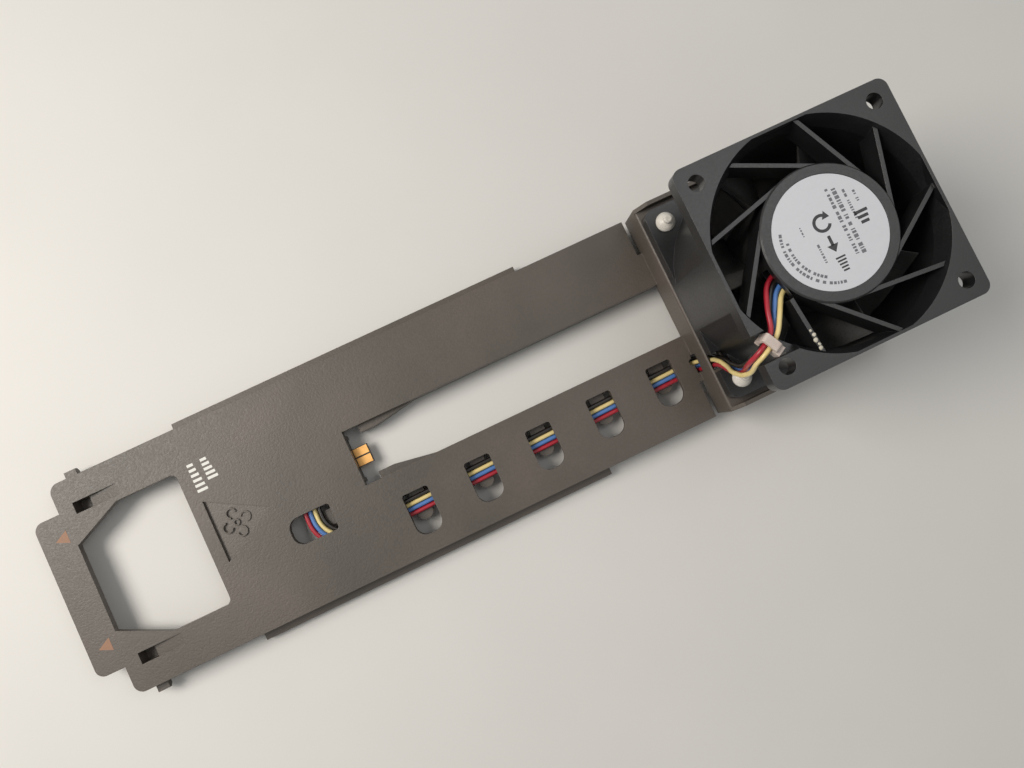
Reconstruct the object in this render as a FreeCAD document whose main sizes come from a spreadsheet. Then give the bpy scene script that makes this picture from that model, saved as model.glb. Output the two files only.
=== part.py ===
import FreeCAD, Part
import math
import os
import Sketcher
from FreeCAD import Placement, Rotation, Vector

# Hot-swap server fan module: a 60 x 60 x 38 mm axial fan carried on rubber mounts at one end of a
# long moulded carrier, with its four wires clipped under the carrier to a blind-mate connector.
# X runs along the carrier towards the fan, Z is up, and the part stands on Z = 0.

doc = FreeCAD.newDocument("ServerFanModule")
sheet = doc.addObject("Spreadsheet::Sheet", "Sizes")

driving = [
    # carrier
    ("carrierLength", 263.6), ("plateWidth", 67.0), ("plateTop", 8.0), ("plateThick", 2.2),
    ("noseWidth", 49.2), ("noseDepth", 8.4), ("noseRound", 2.8), ("stepRound", 3.0),
    ("gripStart", 9.9), ("gripLength", 34.1), ("gripWidth", 42.2), ("gripEdge", 27.6),
    ("gripBevel", 15.2), ("gripRound", 1.9),
    ("springSlotStart", 13.2), ("springSlotLength", 13.9), ("springSlotWidth", 3.5),
    ("springSlotSide", 24.3), ("springSlotOpen", 4.6), ("springWell", 3.6), ("springWellWall", 0.9),
    ("railStart", 47.2), ("railLength", 116.2), ("railWall", 1.8), ("railReach", 2.5),
    ("railLow", 1.2), ("railThick", 2.2),
    ("legStart", 11.9), ("legLength", 5.6), ("legThick", 2.0), ("nubLength", 3.7), ("nubReach", 2.3),
    ("nubLow", 3.0), ("nubHigh", 5.2),
    ("windowStart", 94.0), ("windowSide", 2.2), ("windowWidth", 17.7),
    ("ribThick", 1.6), ("ribDepth", 4.2), ("guideStart", 4.9), ("guideFlat", 5.2), ("guideEnd", 23.5),
    ("guideReach", 2.3),
    ("clipCount", 5), ("clipStart", 106.4), ("clipEnd", 11.1), ("clipSide", 21.1), ("clipRise", 0.75),
    ("clipWidth", 8.4), ("clipLength", 13.7), ("clipRound", 3.4), ("clipCorner", 0.9),
    ("tongueWidth", 5.0), ("tongueLength", 9.6), ("tongueRoot", 1.9), ("tongueLow", 2.5),
    ("tongueThick", 1.5), ("tongueRound", 2.2),
    ("endClipStart", 67.9), ("endClipSide", 10.6),
    ("markStart", 48.0), ("markLength", 17.3), ("markWidth", 19.8), ("markDepth", 0.9),
    ("figureStart", 6.7), ("figureSize", 9.8),
    # fan tray
    ("deckTop", 19.0), ("deckThick", 2.4), ("frontEdge", 0.5), ("frontWall", 1.5),
    ("sideGap", 1.9), ("trayWall", 1.2), ("endGap", 0.8), ("lipHeight", 3.5), ("footBevel", 6.0),
    ("reliefWidth", 1.5), ("reliefLength", 11.6),
    ("intakeDia", 57.0), ("wireGateWidth", 6.0), ("wireGateSide", 16.2), ("wireGateHeight", 3.2),
    ("wireGateDepth", 0.6), ("wireWellSide", 17.4), ("wireWellWidth", 5.2), ("wireWellLength", 3.7),
    ("wireWellSkin", 0.7), ("peepDia", 2.2), ("peepSide", 15.3), ("edgeRound", 0.8),
    # fan frame
    ("fanSide", 60.0), ("fanHeight", 38.0), ("holePitch", 50.0), ("fanHoleDia", 4.3),
    ("lowHoleDia", 4.8), ("flangeLow", 4.5), ("flangeHigh", 5.0), ("frameRound", 2.6), ("boreDia", 57.0),
    ("barrelDia", 61.8), ("flareFlat", 29.2), ("flareRound", 30.2), ("flareDepth", 5.0),
    ("inletRound", 29.3), ("inletDepth", 2.5),
    ("notchSide", 18.6), ("notchWidth", 7.6), ("notchDepth", 5.7), ("notchReach", 10.8),
    ("lowNotchSide", 18.0), ("lowNotchWidth", 5.6), ("lowNotchReach", 4.2),
    # stator and hub base
    ("hubDia", 35.4), ("hubTop", 37.6), ("hubPlate", 2.0), ("hubSkirt", 29.6), ("hubSkirtThick", 1.4),
    ("labelDia", 29.6), ("labelThick", 0.2), ("labelInset", 0.3),
    ("vaneCount", 9), ("vaneThick", 1.1), ("vaneLow", 29.4), ("vaneHigh", 36.9), ("vaneInset", 0.7),
    ("vaneAngle", 15.0), ("doorSide", -1.6), ("doorWidth", 9.2), ("tubeSeatDia", 12.4), ("tubeSeatLow", 32.6),
    # rotor
    ("bladeCount", 7), ("tipGap", 0.6), ("bladeLow", 4.4), ("bladeHigh", 27.6), ("bladeThick", 1.5),
    ("bladeCamber", 2.2), ("rootSweep", 12.0), ("tipSweep", 22.0), ("tipRise", 1.6), ("rotorDia", 33.6),
    ("rotorLow", 2.8), ("rotorHigh", 28.4), ("rotorWall", 1.5), ("noseChamfer", 1.6),
    ("cupGap", 0.05), ("cupWall", 0.9), ("magnetThick", 1.6), ("magnetLow", 13.2), ("magnetHigh", 27.6),
    ("shaftDia", 3.0), ("shaftTop", 34.6), ("bushDia", 7.6), ("bushLength", 5.0), ("runGap", 0.02),
    # bearings and stator pack
    ("bearingDia", 8.0), ("bearingWide", 3.0), ("ringWall", 0.7), ("shieldInset", 0.2),
    ("lowBearing", 12.4), ("highBearing", 28.2),
    ("tubeWall", 1.1), ("tubeLow", 11.2), ("washerThick", 0.35), ("springRise", 1.0),
    ("clipThick", 0.5), ("clipDia", 6.0), ("clipGroove", 0.4),
    ("coreLow", 17.0), ("coreHigh", 25.0), ("airGap", 0.4), ("toothCount", 6), ("toothWidth", 3.0),
    ("shoeDepth", 1.5), ("shoeAngle", 46.0), ("coreRing", 1.8), ("coilThick", 1.4),
    ("insulator", 0.7), ("boardLow", 30.4), ("boardThick", 1.2), ("boardGap", 0.3),
    ("driverLength", 5.0), ("driverWidth", 4.4), ("driverHigh", 1.5), ("driverShare", 0.51),
    ("switchLength", 5.2), ("switchWidth", 5.0), ("switchHigh", 1.2), ("switchShare", 0.5),
    ("hallLength", 1.6), ("hallWidth", 3.0), ("hallHigh", 1.0), ("hallShare", 0.725),
    ("canDia", 4.8), ("canHigh", 2.8), ("canShare", 0.69),
    # rubber mounts
    ("mountCollar", 0.6), ("mountDia", 6.6), ("mountStem", 4.4), ("mountHead", 5.6), ("mountDome", 2.2),
    ("mountTail", 2.4), ("tailHeight", 1.9), ("mountFoot", 1.8), ("mountHole", 5.0), ("mountNeck", 4.7),
    # connector
    ("plugLength", 9.2), ("plugWidth", 12.4), ("plugLow", 1.0), ("bladeLength", 4.8),
    ("bladeWidth", 5.9), ("contactGap", 0.5), ("contactThick", 0.3), ("bladeCore", 1.2), ("bladeMid", 3.2),
    ("cheekThick", 1.3),
    # wires
    ("wireDia", 1.3), ("wirePitch", 1.45), ("wireBend", 12.0), ("tieWidth", 2.4), ("tieThick", 0.9),
    ("tieShare", 0.45), ("tieRoom", 0.25),
    # worked out from the values above
    ("clipPitch", "=(carrierLength - trayWall - endGap - fanSide - frontEdge - clipStart - clipEnd)"
     " / (clipCount - 1)"),
    ("vaneTangent", "=hubDia / 2 - vaneInset"),
]
for row, (alias, value) in enumerate(driving, 1):
    sheet.set("A%d" % row, alias)
    sheet.set("B%d" % row, str(value))
    sheet.setAlias("B%d" % row, alias)
doc.recompute()
size = {alias: float(getattr(sheet, alias)) for alias, _ in driving}


def S(text):
    """Expression text in which every @name is a cell of the sheet."""
    return text.replace("@", "Sizes.")


# places that several pieces share, as expressions
noseX = S("(-@carrierLength / 2)")
fanX = S("(@carrierLength / 2 - @trayWall - @endGap - @fanSide / 2)")
fanZ = S("(@deckTop + @mountCollar)")
frontX = "(" + fanX + S(" - @fanSide / 2 - @frontEdge)")
trayIn = S("(@fanSide / 2 + @sideGap)")
trayOut = S("(@fanSide / 2 + @sideGap + @trayWall)")
plateLow = S("(@plateTop - @plateThick)")
plateHalf = S("(@plateWidth / 2)")

nodes = []


def keep(obj, label):
    obj.Label = label
    nodes.append(obj)
    return obj


def bind(obj, **expressions):
    for name, text in expressions.items():
        obj.setExpression(name.replace("_", "."), text)
    return obj


def seatInFan(obj):
    return bind(obj, Placement_Base_x=fanX, Placement_Base_z=fanZ)


# ---------------------------------------------------------------- sketches and features
def newBody(name):
    return doc.addObject("PartDesign::Body", name)


def originOf(body, role):
    return next(f for f in body.Origin.OriginFeatures if f.Role == role)


def newSketch(body, name, plane="XY_Plane", level=None):
    sketch = body.newObject("Sketcher::SketchObject", name)
    sketch.AttachmentSupport = [(originOf(body, plane), "")]
    sketch.MapMode = "FlatFace"
    if level is not None:
        bind(sketch, AttachmentOffset_Base_z=level)
    return sketch


def drive(sketch, kind, args, text):
    index = sketch.addConstraint(Sketcher.Constraint(kind, *args, 1.0))
    sketch.setExpression("Constraints[%d]" % index, text)


def outline(sketch, points):
    """Closed polygon. Its corners start on a circle, and the driven distances place them."""
    count = len(points)
    first = sketch.GeometryCount
    start = [Vector(math.cos(2 * math.pi * i / count), math.sin(2 * math.pi * i / count), 0)
             for i in range(count)]
    for i in range(count):
        sketch.addGeometry(Part.LineSegment(start[i], start[(i + 1) % count]), False)
    for i in range(count):
        sketch.addConstraint(Sketcher.Constraint("Coincident", first + i, 2, first + (i + 1) % count, 1))
    for i, (x, y) in enumerate(points):
        drive(sketch, "DistanceX", (-1, 1, first + i, 1), x)
        drive(sketch, "DistanceY", (-1, 1, first + i, 1), y)
    return sketch


def rectangle(sketch, x0, x1, y0, y1):
    return outline(sketch, [(x0, y0), (x1, y0), (x1, y1), (x0, y1)])


def circle(sketch, x, y, diameter):
    geo = sketch.addGeometry(Part.Circle(Vector(1, 1, 0), Vector(0, 0, 1), 1), False)
    drive(sketch, "DistanceX", (-1, 1, geo, 3), x)
    drive(sketch, "DistanceY", (-1, 1, geo, 3), y)
    drive(sketch, "Diameter", (geo,), diameter)
    return sketch


def pad(body, sketch, length, down=False, midplane=False):
    feature = body.newObject("PartDesign::Pad", sketch.Name + "Pad")
    feature.Profile = sketch
    feature.Reversed = down
    if midplane:
        feature.SideType = "Symmetric"
    bind(feature, Length=length)
    sketch.Visibility = False
    return feature


def pocket(body, sketch, depth, up=False):
    """Cut from the sketch downwards, or upwards with up; stops if it removes nothing."""
    doc.recompute()
    before = body.Shape.Volume
    feature = body.newObject("PartDesign::Pocket", sketch.Name + "Cut")
    feature.Profile = sketch
    feature.Reversed = up
    bind(feature, Length=depth)
    doc.recompute()
    if feature.Shape.Volume > before - 1e-3:
        raise RuntimeError(feature.Name + " cuts nothing")
    return feature


def mirrorSide(body, features):
    """Repeat features on the other side of the X-Z plane."""
    mirrored = body.newObject("PartDesign::Mirrored", features[0].Name + "Both")
    mirrored.Originals = features
    mirrored.MirrorPlane = (originOf(body, "XZ_Plane"), [""])
    body.Tip = mirrored
    return mirrored


def polar(body, feature, count):
    pattern = body.newObject("PartDesign::PolarPattern", feature.Name + "Ring")
    pattern.Originals = [feature]
    pattern.Axis = (originOf(body, "Z_Axis"), [""])
    pattern.Angle = 360
    bind(pattern, Occurrences=count)
    body.Tip = pattern
    return pattern


def roundUprights(body, name, corners, radius):
    """Fillet the vertical edges that stand at the given corners."""
    doc.recompute()
    base = body.Tip
    picked = []
    for index, edge in enumerate(base.Shape.Edges, 1):
        ends = [v.Point for v in edge.Vertexes]
        if len(ends) < 2 or math.hypot(ends[0].x - ends[1].x, ends[0].y - ends[1].y) > 1e-4:
            continue
        if any(math.hypot(ends[0].x - x, ends[0].y - y) < 0.02 for x, y in corners):
            picked.append("Edge%d" % index)
    fillet = body.newObject("PartDesign::Fillet", name)
    fillet.Base = (base, picked)
    bind(fillet, Radius=radius)
    return fillet


def turned(name, profile):
    """Body turned about its own Z axis from a half profile of (radius, height) pairs."""
    body = newBody(name)
    sketch = outline(newSketch(body, name + "Profile", "XZ_Plane"), profile)
    turn = body.newObject("PartDesign::Revolution", name + "Turn")
    turn.Profile = sketch
    turn.ReferenceAxis = (sketch, ["V_Axis"])
    turn.Angle = 360
    sketch.Visibility = False
    return body


def solidFeature(label, shape, inFan=False):
    feature = doc.addObject("Part::Feature", label + "Solid")
    feature.Shape = shape
    if inFan:
        seatInFan(feature)
    return keep(feature, label)


# ---------------------------------------------------------------- carrier
def carrierPlate(body):
    """Flat plate with a narrower nose; its far end meets the tray's front wall."""
    step = "(" + noseX + S(" + @noseDepth)")
    nose = S("(@noseWidth / 2)")
    sketch = outline(newSketch(body, "PlateOutline", level=plateLow), [
        (noseX, "-" + nose), (step, "-" + nose), (step, "-" + plateHalf), (frontX, "-" + plateHalf),
        (frontX, plateHalf), (step, plateHalf), (step, nose), (noseX, nose)])
    pad(body, sketch, S("@plateThick"))
    x0 = -size["carrierLength"] / 2
    x1 = x0 + size["noseDepth"]
    n, w = size["noseWidth"] / 2, size["plateWidth"] / 2
    roundUprights(body, "NoseRound", [(x0, n), (x0, -n)], S("@noseRound"))
    roundUprights(body, "StepRound", [(x1, w), (x1, -w)], S("@stepRound"))


def fanTray(body):
    """Raised deck on a front wall, two side walls with lips and an end wall."""
    end = S("(@carrierLength / 2)")
    wall = rectangle(newSketch(body, "FrontWall", level=plateLow), frontX,
                     frontX + S(" + @frontWall"), "-" + trayOut, trayOut)
    pad(body, wall, S("@deckTop - ") + plateLow)
    deck = rectangle(newSketch(body, "Deck", level=S("@deckTop - @deckThick")), frontX, end,
                     "-" + trayOut, trayOut)
    pad(body, deck, S("@deckThick"))
    doc.recompute()
    tray = body.Tip
    frontAt = size["carrierLength"] - size["trayWall"] - size["endGap"] - size["fanSide"] - size["frontEdge"]
    frontAt -= size["carrierLength"] / 2
    ridge = ["Edge%d" % index for index, edge in enumerate(tray.Shape.Edges, 1)
             if all(math.hypot(v.X - frontAt, v.Z - size["deckTop"]) < 0.02 for v in edge.Vertexes)]
    rounded = body.newObject("PartDesign::Fillet", "FrontEdgeRound")
    rounded.Base = (tray, ridge)
    bind(rounded, Radius=S("@edgeRound"))
    side = outline(newSketch(body, "SideWall", "XZ_Plane", level="-" + trayOut), [
        (frontX, plateLow), (frontX + S(" + @footBevel"), "0"), (end, "0"),
        (end, S("@deckTop + @lipHeight")), (frontX + S(" + @lipHeight"), S("@deckTop + @lipHeight")),
        (frontX, S("@deckTop"))])
    sidePad = pad(body, side, S("@trayWall"))
    doc.recompute()
    mirrorSide(body, [sidePad])
    endWall = rectangle(newSketch(body, "EndWall"), end + S(" - @trayWall"), end, "-" + trayOut, trayOut)
    pad(body, endWall, S("@deckTop + @lipHeight"))


def trayHoles(body):
    """Intake, mount holes, wire well and the gate where the wires leave under the front wall."""
    cuts = newSketch(body, "DeckHoles", level=S("@deckTop"))
    circle(cuts, fanX, "0", S("@intakeDia"))
    half = S("@holePitch / 2")
    for sx in ("-", "+"):
        for sy in ("-", "+"):
            circle(cuts, fanX + " " + sx + " " + half, "0 " + sy + " " + half, S("@mountHole"))
    pocket(body, cuts, S("@deckThick"))
    behind = frontX + S(" + @frontWall")
    well = rectangle(newSketch(body, "WireWell", level=S("@deckTop")), frontX + S(" + @wireWellSkin"),
                     frontX + S(" + @wireWellSkin + @wireWellLength"),
                     S("-@wireWellSide - @wireWellWidth / 2"), S("-@wireWellSide + @wireWellWidth / 2"))
    pocket(body, well, S("@deckTop - ") + plateLow)
    gate = rectangle(newSketch(body, "WireGate", level=plateLow), frontX + S(" - @wireGateDepth"),
                     behind, S("-@wireGateSide - @wireGateWidth / 2"),
                     S("-@wireGateSide + @wireGateWidth / 2"))
    pocket(body, gate, S("@plateThick + @wireGateHeight"), up=True)
    peep = circle(newSketch(body, "PeepHole", level=S("@plateTop")), frontX + S(" - @peepDia / 2 + 0.4"),
                  S("-@peepSide"), S("@peepDia"))
    pocket(body, peep, S("@plateThick"))


def plateOpenings(body):
    """Grip hole, window, spring slots, wire clip windows and the reliefs beside the tray."""
    x0 = "(" + noseX + S(" + @gripStart)")
    x1 = "(" + x0 + S(" + @gripLength)")
    x2 = "(" + x0 + S(" + @gripBevel)")
    wide, narrow = S("(@gripWidth / 2)"), S("(@gripEdge / 2)")
    grip = outline(newSketch(body, "Grip", level=S("@plateTop")), [
        (x0, "-" + narrow), (x2, "-" + wide), (x1, "-" + wide), (x1, wide), (x2, wide), (x0, narrow)])
    pocket(body, grip, S("@plateThick"))
    gx0 = -size["carrierLength"] / 2 + size["gripStart"]
    gx1, gw = gx0 + size["gripLength"], size["gripWidth"] / 2
    roundUprights(body, "GripRound", [(gx1, gw), (gx1, -gw)], S("@gripRound"))

    window = rectangle(newSketch(body, "Window", level=S("@plateTop")),
                       noseX + S(" + @windowStart"), frontX,
                       S("@windowSide - @windowWidth / 2"), S("@windowSide + @windowWidth / 2"))
    pocket(body, window, S("@plateThick"))

    reliefs = newSketch(body, "Reliefs", level=S("@plateTop"))
    for sign in ("", "-"):
        rectangle(reliefs, frontX + S(" - @reliefWidth"), frontX,
                  sign + "(" + plateHalf + S(" - @reliefLength)"), sign + "(" + plateHalf + " + 1)")
    pocket(body, reliefs, S("@plateThick"))

    slotX = "(" + noseX + S(" + @springSlotStart)")
    slotLow, slotHigh = (S("(@springSlotSide - @springSlotWidth / 2)"),
                         S("(@springSlotSide + @springSlotWidth / 2)"))
    wells = newSketch(body, "SpringWells", level=plateLow + S(" - @springWell"))
    deep = newSketch(body, "SpringSlots", level=S("@plateTop"))
    for sign in ("", "-"):
        rectangle(wells, slotX + S(" - @springWellWall"), slotX + S(" + @springSlotOpen + @springWellWall"),
                  sign + "(" + slotLow + S(" - @springWellWall)"),
                  sign + "(" + slotHigh + S(" + @springWellWall)"))
        rectangle(deep, slotX, slotX + S(" + @springSlotOpen"), sign + slotLow, sign + slotHigh)
    pad(body, wells, S("@springWell"))
    pocket(body, deep, S("@plateThick + @springWell - @springWellWall"))
    # the rest of each slot is a ramp that rises to the plate's top
    ramp = outline(newSketch(body, "SpringRamp", "XZ_Plane", level="-" + slotHigh), [
        (slotX + S(" + @springSlotOpen - 0.2"), S("@plateTop + 1")),
        (slotX + S(" + @springSlotOpen - 0.2"), S("@plateTop - @plateThick * 0.7")),
        (slotX + S(" + @springSlotLength"), S("@plateTop")),
        (slotX + S(" + @springSlotLength"), S("@plateTop + 1"))])
    rampCut = pocket(body, ramp, S("@springSlotWidth"), up=True)
    mirrorSide(body, [rampCut])


def clipWindows(body):
    """Windows over the wire clips, each with a tongue that passes below the wires."""
    top = newSketch(body, "ClipWindows", level=S("@plateTop"))
    roots = newSketch(body, "TongueRoots", level=S("@tongueLow"))
    arms = newSketch(body, "TongueArms", level=S("@tongueLow"))
    soft, sharp, tips = [], [], []
    half, length = size["clipWidth"] / 2, size["clipLength"]
    reach, thin = size["tongueLength"], size["tongueWidth"] / 2
    for i in range(int(size["clipCount"])):
        mid = "(" + noseX + S(" + @clipStart + %d * @clipPitch)" % i)
        high = S("(-@clipSide + %d * @clipRise + @clipLength / 2)" % i)
        rectangle(top, mid + S(" - @clipWidth / 2"), mid + S(" + @clipWidth / 2"),
                  high + S(" - @clipLength"), high)
        rectangle(roots, mid + S(" - @clipWidth / 2"), mid + S(" + @clipWidth / 2"),
                  high, high + S(" + @tongueRoot"))
        rectangle(arms, mid + S(" - @tongueWidth / 2"), mid + S(" + @tongueWidth / 2"),
                  high + S(" - @tongueLength"), high + S(" + @tongueRoot"))
        x = -size["carrierLength"] / 2 + size["clipStart"] + i * size["clipPitch"]
        y = -size["clipSide"] + i * size["clipRise"] + length / 2
        soft += [(x - half, y - length), (x + half, y - length)]
        sharp += [(x - half, y), (x + half, y)]
        tips += [(x - thin, y - reach), (x + thin, y - reach)]
    # the last clip, beside the connector, is turned to face along the plate
    x0 = "(" + noseX + S(" + @endClipStart)")
    y0, y1 = S("(-@endClipSide - @clipWidth / 2)"), S("(-@endClipSide + @clipWidth / 2)")
    end = "(" + x0 + S(" + @clipLength)")
    rectangle(top, x0, end, y0, y1)
    rectangle(roots, end, end + S(" + @tongueRoot"), y0, y1)
    rectangle(arms, end + S(" - @tongueLength"), end + S(" + @tongueRoot"),
              S("-@endClipSide - @tongueWidth / 2"), S("-@endClipSide + @tongueWidth / 2"))
    x = -size["carrierLength"] / 2 + size["endClipStart"]
    y = -size["endClipSide"]
    soft += [(x, y - half), (x, y + half)]
    sharp += [(x + length, y - half), (x + length, y + half)]
    tips += [(x + length - reach, y - thin), (x + length - reach, y + thin)]

    pocket(body, top, S("@plateThick"))
    roundUprights(body, "ClipRound", soft, S("@clipRound"))
    roundUprights(body, "ClipCorner", sharp, S("@clipCorner"))
    pad(body, roots, plateLow + S(" - @tongueLow"))
    pad(body, arms, S("@tongueThick"))
    roundUprights(body, "TongueTips", tips, S("@tongueRound"))


def railsAndLegs(body):
    """Side skirts with guide rails, and the two latch legs with their nubs."""
    start = "(" + noseX + S(" + @railStart)")
    inner = "(" + plateHalf + S(" - @railWall)")
    outer = "(" + plateHalf + S(" + @railReach)")
    rail = outline(newSketch(body, "Rail", "YZ_Plane", level=start), [
        (inner, "0"), (plateHalf, "0"), (plateHalf, S("@railLow")), (outer, S("@railLow + 0.4")),
        (outer, S("@railLow + @railThick")), (plateHalf, S("@railLow + @railThick + 0.4")),
        (plateHalf, plateLow), (inner, plateLow)])
    railPad = pad(body, rail, S("@railLength"))
    legX = "(" + noseX + S(" + @legStart)")
    leg = rectangle(newSketch(body, "Leg"), legX, legX + S(" + @legLength"),
                    "(" + plateHalf + S(" - @legThick)"), plateHalf)
    legPad = pad(body, leg, plateLow)
    nubX = "(" + legX + S(" + (@legLength - @nubLength) / 2)")
    nub = outline(newSketch(body, "Nub", "YZ_Plane", level=nubX), [
        (plateHalf + " - 0.5", S("@nubLow")), (plateHalf + S(" + @nubReach * 0.6"), S("@nubLow")),
        (plateHalf + S(" + @nubReach"), S("@nubLow + 0.9")), (plateHalf + S(" + @nubReach"), S("@nubHigh")),
        (plateHalf + " - 0.5", S("@nubHigh"))])
    nubPad = pad(body, nub, S("@nubLength"))
    doc.recompute()
    mirrorSide(body, [railPad, legPad, nubPad])


def windowRibs(body):
    """Ribs under both sides of the window, swelling into guides beside the connector."""
    start = "(" + noseX + S(" + @windowStart)")
    ribs = newSketch(body, "WindowRibs", level=plateLow + S(" - @ribDepth"))
    for sign in ("+", "-"):
        edge = S("(@windowSide " + sign + " @windowWidth / 2)")
        back = "(" + edge + " " + sign + S(" @ribThick)")
        flip = "-" if sign == "+" else "+"
        inner = "(" + edge + " " + flip + S(" @guideReach)")
        outline(ribs, [(start + S(" + @guideStart"), back), (start + S(" + @guideStart"), inner),
                       (start + S(" + @guideStart + @guideFlat"), inner),
                       (start + S(" + @guideEnd"), edge), (frontX, edge), (frontX, back)])
    pad(body, ribs, S("@ribDepth"))
    # two cheeks and a stop hold the connector under the plate
    cheeks = newSketch(body, "PlugCheeks", level=S("@plugLow"))
    plugIn = "(" + start + S(" - @plugLength)")
    for sign in ("+", "-"):
        near = S("(@windowSide " + sign + " (@plugWidth / 2 + 0.1))")
        rectangle(cheeks, plugIn, start, near, near + " " + sign + S(" @cheekThick"))
    pad(body, cheeks, plateLow + S(" - @plugLow"))


def embossedMark(body):
    """Triangular field that slopes down to its base, with a figure of four hooked blades standing in it."""
    x0 = "(" + noseX + S(" + @markStart)")
    field = body.newObject("PartDesign::SubtractiveWedge", "MarkField")
    field.Placement = Placement(Vector(0, 0, 0), Rotation(Vector(0, 0, 1), -90))
    bind(field, Xmin=S("-@markWidth / 2"), Xmax=S("@markWidth / 2"), Ymin="0", Ymax=S("@markLength"),
         Zmin=S("@plateTop - @markDepth"), Zmax=S("@plateTop"), X2min="-0.05", X2max="0.05",
         Z2min=S("@plateTop - 0.02"), Z2max=S("@plateTop"), Placement_Base_x=x0)
    middle = x0 + S(" + @figureStart")
    steps, sweep, opens = 7, 250, 100
    for blade in range(4):
        lean = 90 * blade + 10
        points = []
        for reach in (0.36, 0.26):
            arc = []
            for i in range(steps + 1):
                turn = math.radians(lean - opens + sweep * i / steps)
                x = 0.64 * math.cos(math.radians(lean)) + reach * math.cos(turn)
                y = 0.64 * math.sin(math.radians(lean)) + reach * math.sin(turn)
                arc.append((middle + S(" + %.4f * @figureSize / 2" % x), S("%.4f * @figureSize / 2" % y)))
            points += arc if not points else arc[::-1]
        hook = outline(newSketch(body, "FigureBlade%d" % blade, level=S("@plateTop - @markDepth")), points)
        pad(body, hook, S("@markDepth"))
    boss = newSketch(body, "FigureHub", level=S("@plateTop - @markDepth"))
    circle(boss, middle, "0", S("@figureSize * 0.22"))
    circle(boss, middle, "0", S("@figureSize * 0.12"))
    pad(body, boss, S("@markDepth"))


carrier = newBody("CarrierBody")
carrierPlate(carrier)
fanTray(carrier)
trayHoles(carrier)
railsAndLegs(carrier)
windowRibs(carrier)
plateOpenings(carrier)
clipWindows(carrier)
embossedMark(carrier)
keep(carrier, "carrier")


# ---------------------------------------------------------------- fan frame with stator vanes
def frameShell():
    """Two square flanges joined by a round barrel that is flattened where it meets their sides."""
    body = newBody("FrameShell")
    half = S("(@fanSide / 2)")
    pad(body, circle(newSketch(body, "Barrel"), "0", "0", S("@barrelDia")), S("@fanHeight"))
    flats = newSketch(body, "BarrelFlats", level=S("@fanHeight"))
    rectangle(flats, S("-@barrelDia"), S("@barrelDia"), S("-@barrelDia"), S("@barrelDia"))
    rectangle(flats, "-" + half, half, "-" + half, half)
    pocket(body, flats, S("@fanHeight"))
    low = rectangle(newSketch(body, "LowFlange"), "-" + half, half, "-" + half, half)
    pad(body, low, S("@flangeLow"))
    high = rectangle(newSketch(body, "HighFlange", level=S("@fanHeight")), "-" + half, half, "-" + half, half)
    pad(body, high, S("@flangeHigh"), down=True)
    h = size["fanSide"] / 2
    roundUprights(body, "FrameRound", [(h, h), (h, -h), (-h, h), (-h, -h)], S("@frameRound"))
    bore = circle(newSketch(body, "Bore", level=S("@fanHeight")), "0", "0", S("@boreDia"))
    pocket(body, bore, S("@fanHeight"))
    # screw holes in the top flange, and wider ones for the rubber mounts in the lower flange
    for end, level, deep, wide in (("High", "@fanHeight", "@flangeHigh", "@fanHoleDia"),
                                   ("Low", "@flangeLow", "@flangeLow", "@lowHoleDia")):
        holes = newSketch(body, end + "Holes", level=S(level))
        for sx in ("-", ""):
            for sy in ("-", ""):
                circle(holes, sx + S("@holePitch / 2"), sy + S("@holePitch / 2"), S(wide))
        pocket(body, holes, S(deep))
    # wire notches: one across the top flange, one in the edge of the lower flange below it
    top = rectangle(newSketch(body, "TopNotch", level=S("@fanHeight")), "-" + half,
                    "-" + half + S(" + @notchReach"), S("-@notchSide - @notchWidth / 2"),
                    S("-@notchSide + @notchWidth / 2"))
    pocket(body, top, S("@notchDepth"))
    lowNotch = rectangle(newSketch(body, "LowNotch", level=S("@flangeLow")), "-" + half,
                         "-" + half + S(" + @lowNotchReach"), S("-@lowNotchSide - @lowNotchWidth / 2"),
                         S("-@lowNotchSide + @lowNotchWidth / 2"))
    pocket(body, lowNotch, S("@flangeLow"))
    return body


def flareTool():
    """Outlet cone, trimmed by a square so that the side walls stay whole, and a short inlet cone."""
    cone = bind(doc.addObject("Part::Cone", "FlareCone"), Radius1=S("@boreDia / 2"),
                Radius2=S("@flareRound"), Height=S("@flareDepth"),
                Placement_Base_z=S("@fanHeight - @flareDepth"))
    block = bind(doc.addObject("Part::Box", "FlareBlock"), Length=S("2 * @flareFlat"),
                 Width=S("2 * @flareFlat"), Height=S("@flareDepth"), Placement_Base_x=S("-@flareFlat"),
                 Placement_Base_y=S("-@flareFlat"), Placement_Base_z=S("@fanHeight - @flareDepth"))
    outlet = doc.addObject("Part::Common", "OutletFlare")
    outlet.Base, outlet.Tool = cone, block
    inlet = bind(doc.addObject("Part::Cone", "InletFlare"), Radius1=S("@inletRound"),
                 Radius2=S("@boreDia / 2"), Height=S("@inletDepth"))
    both = doc.addObject("Part::Fuse", "Flares")
    both.Base, both.Tool = outlet, inlet
    return both


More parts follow.
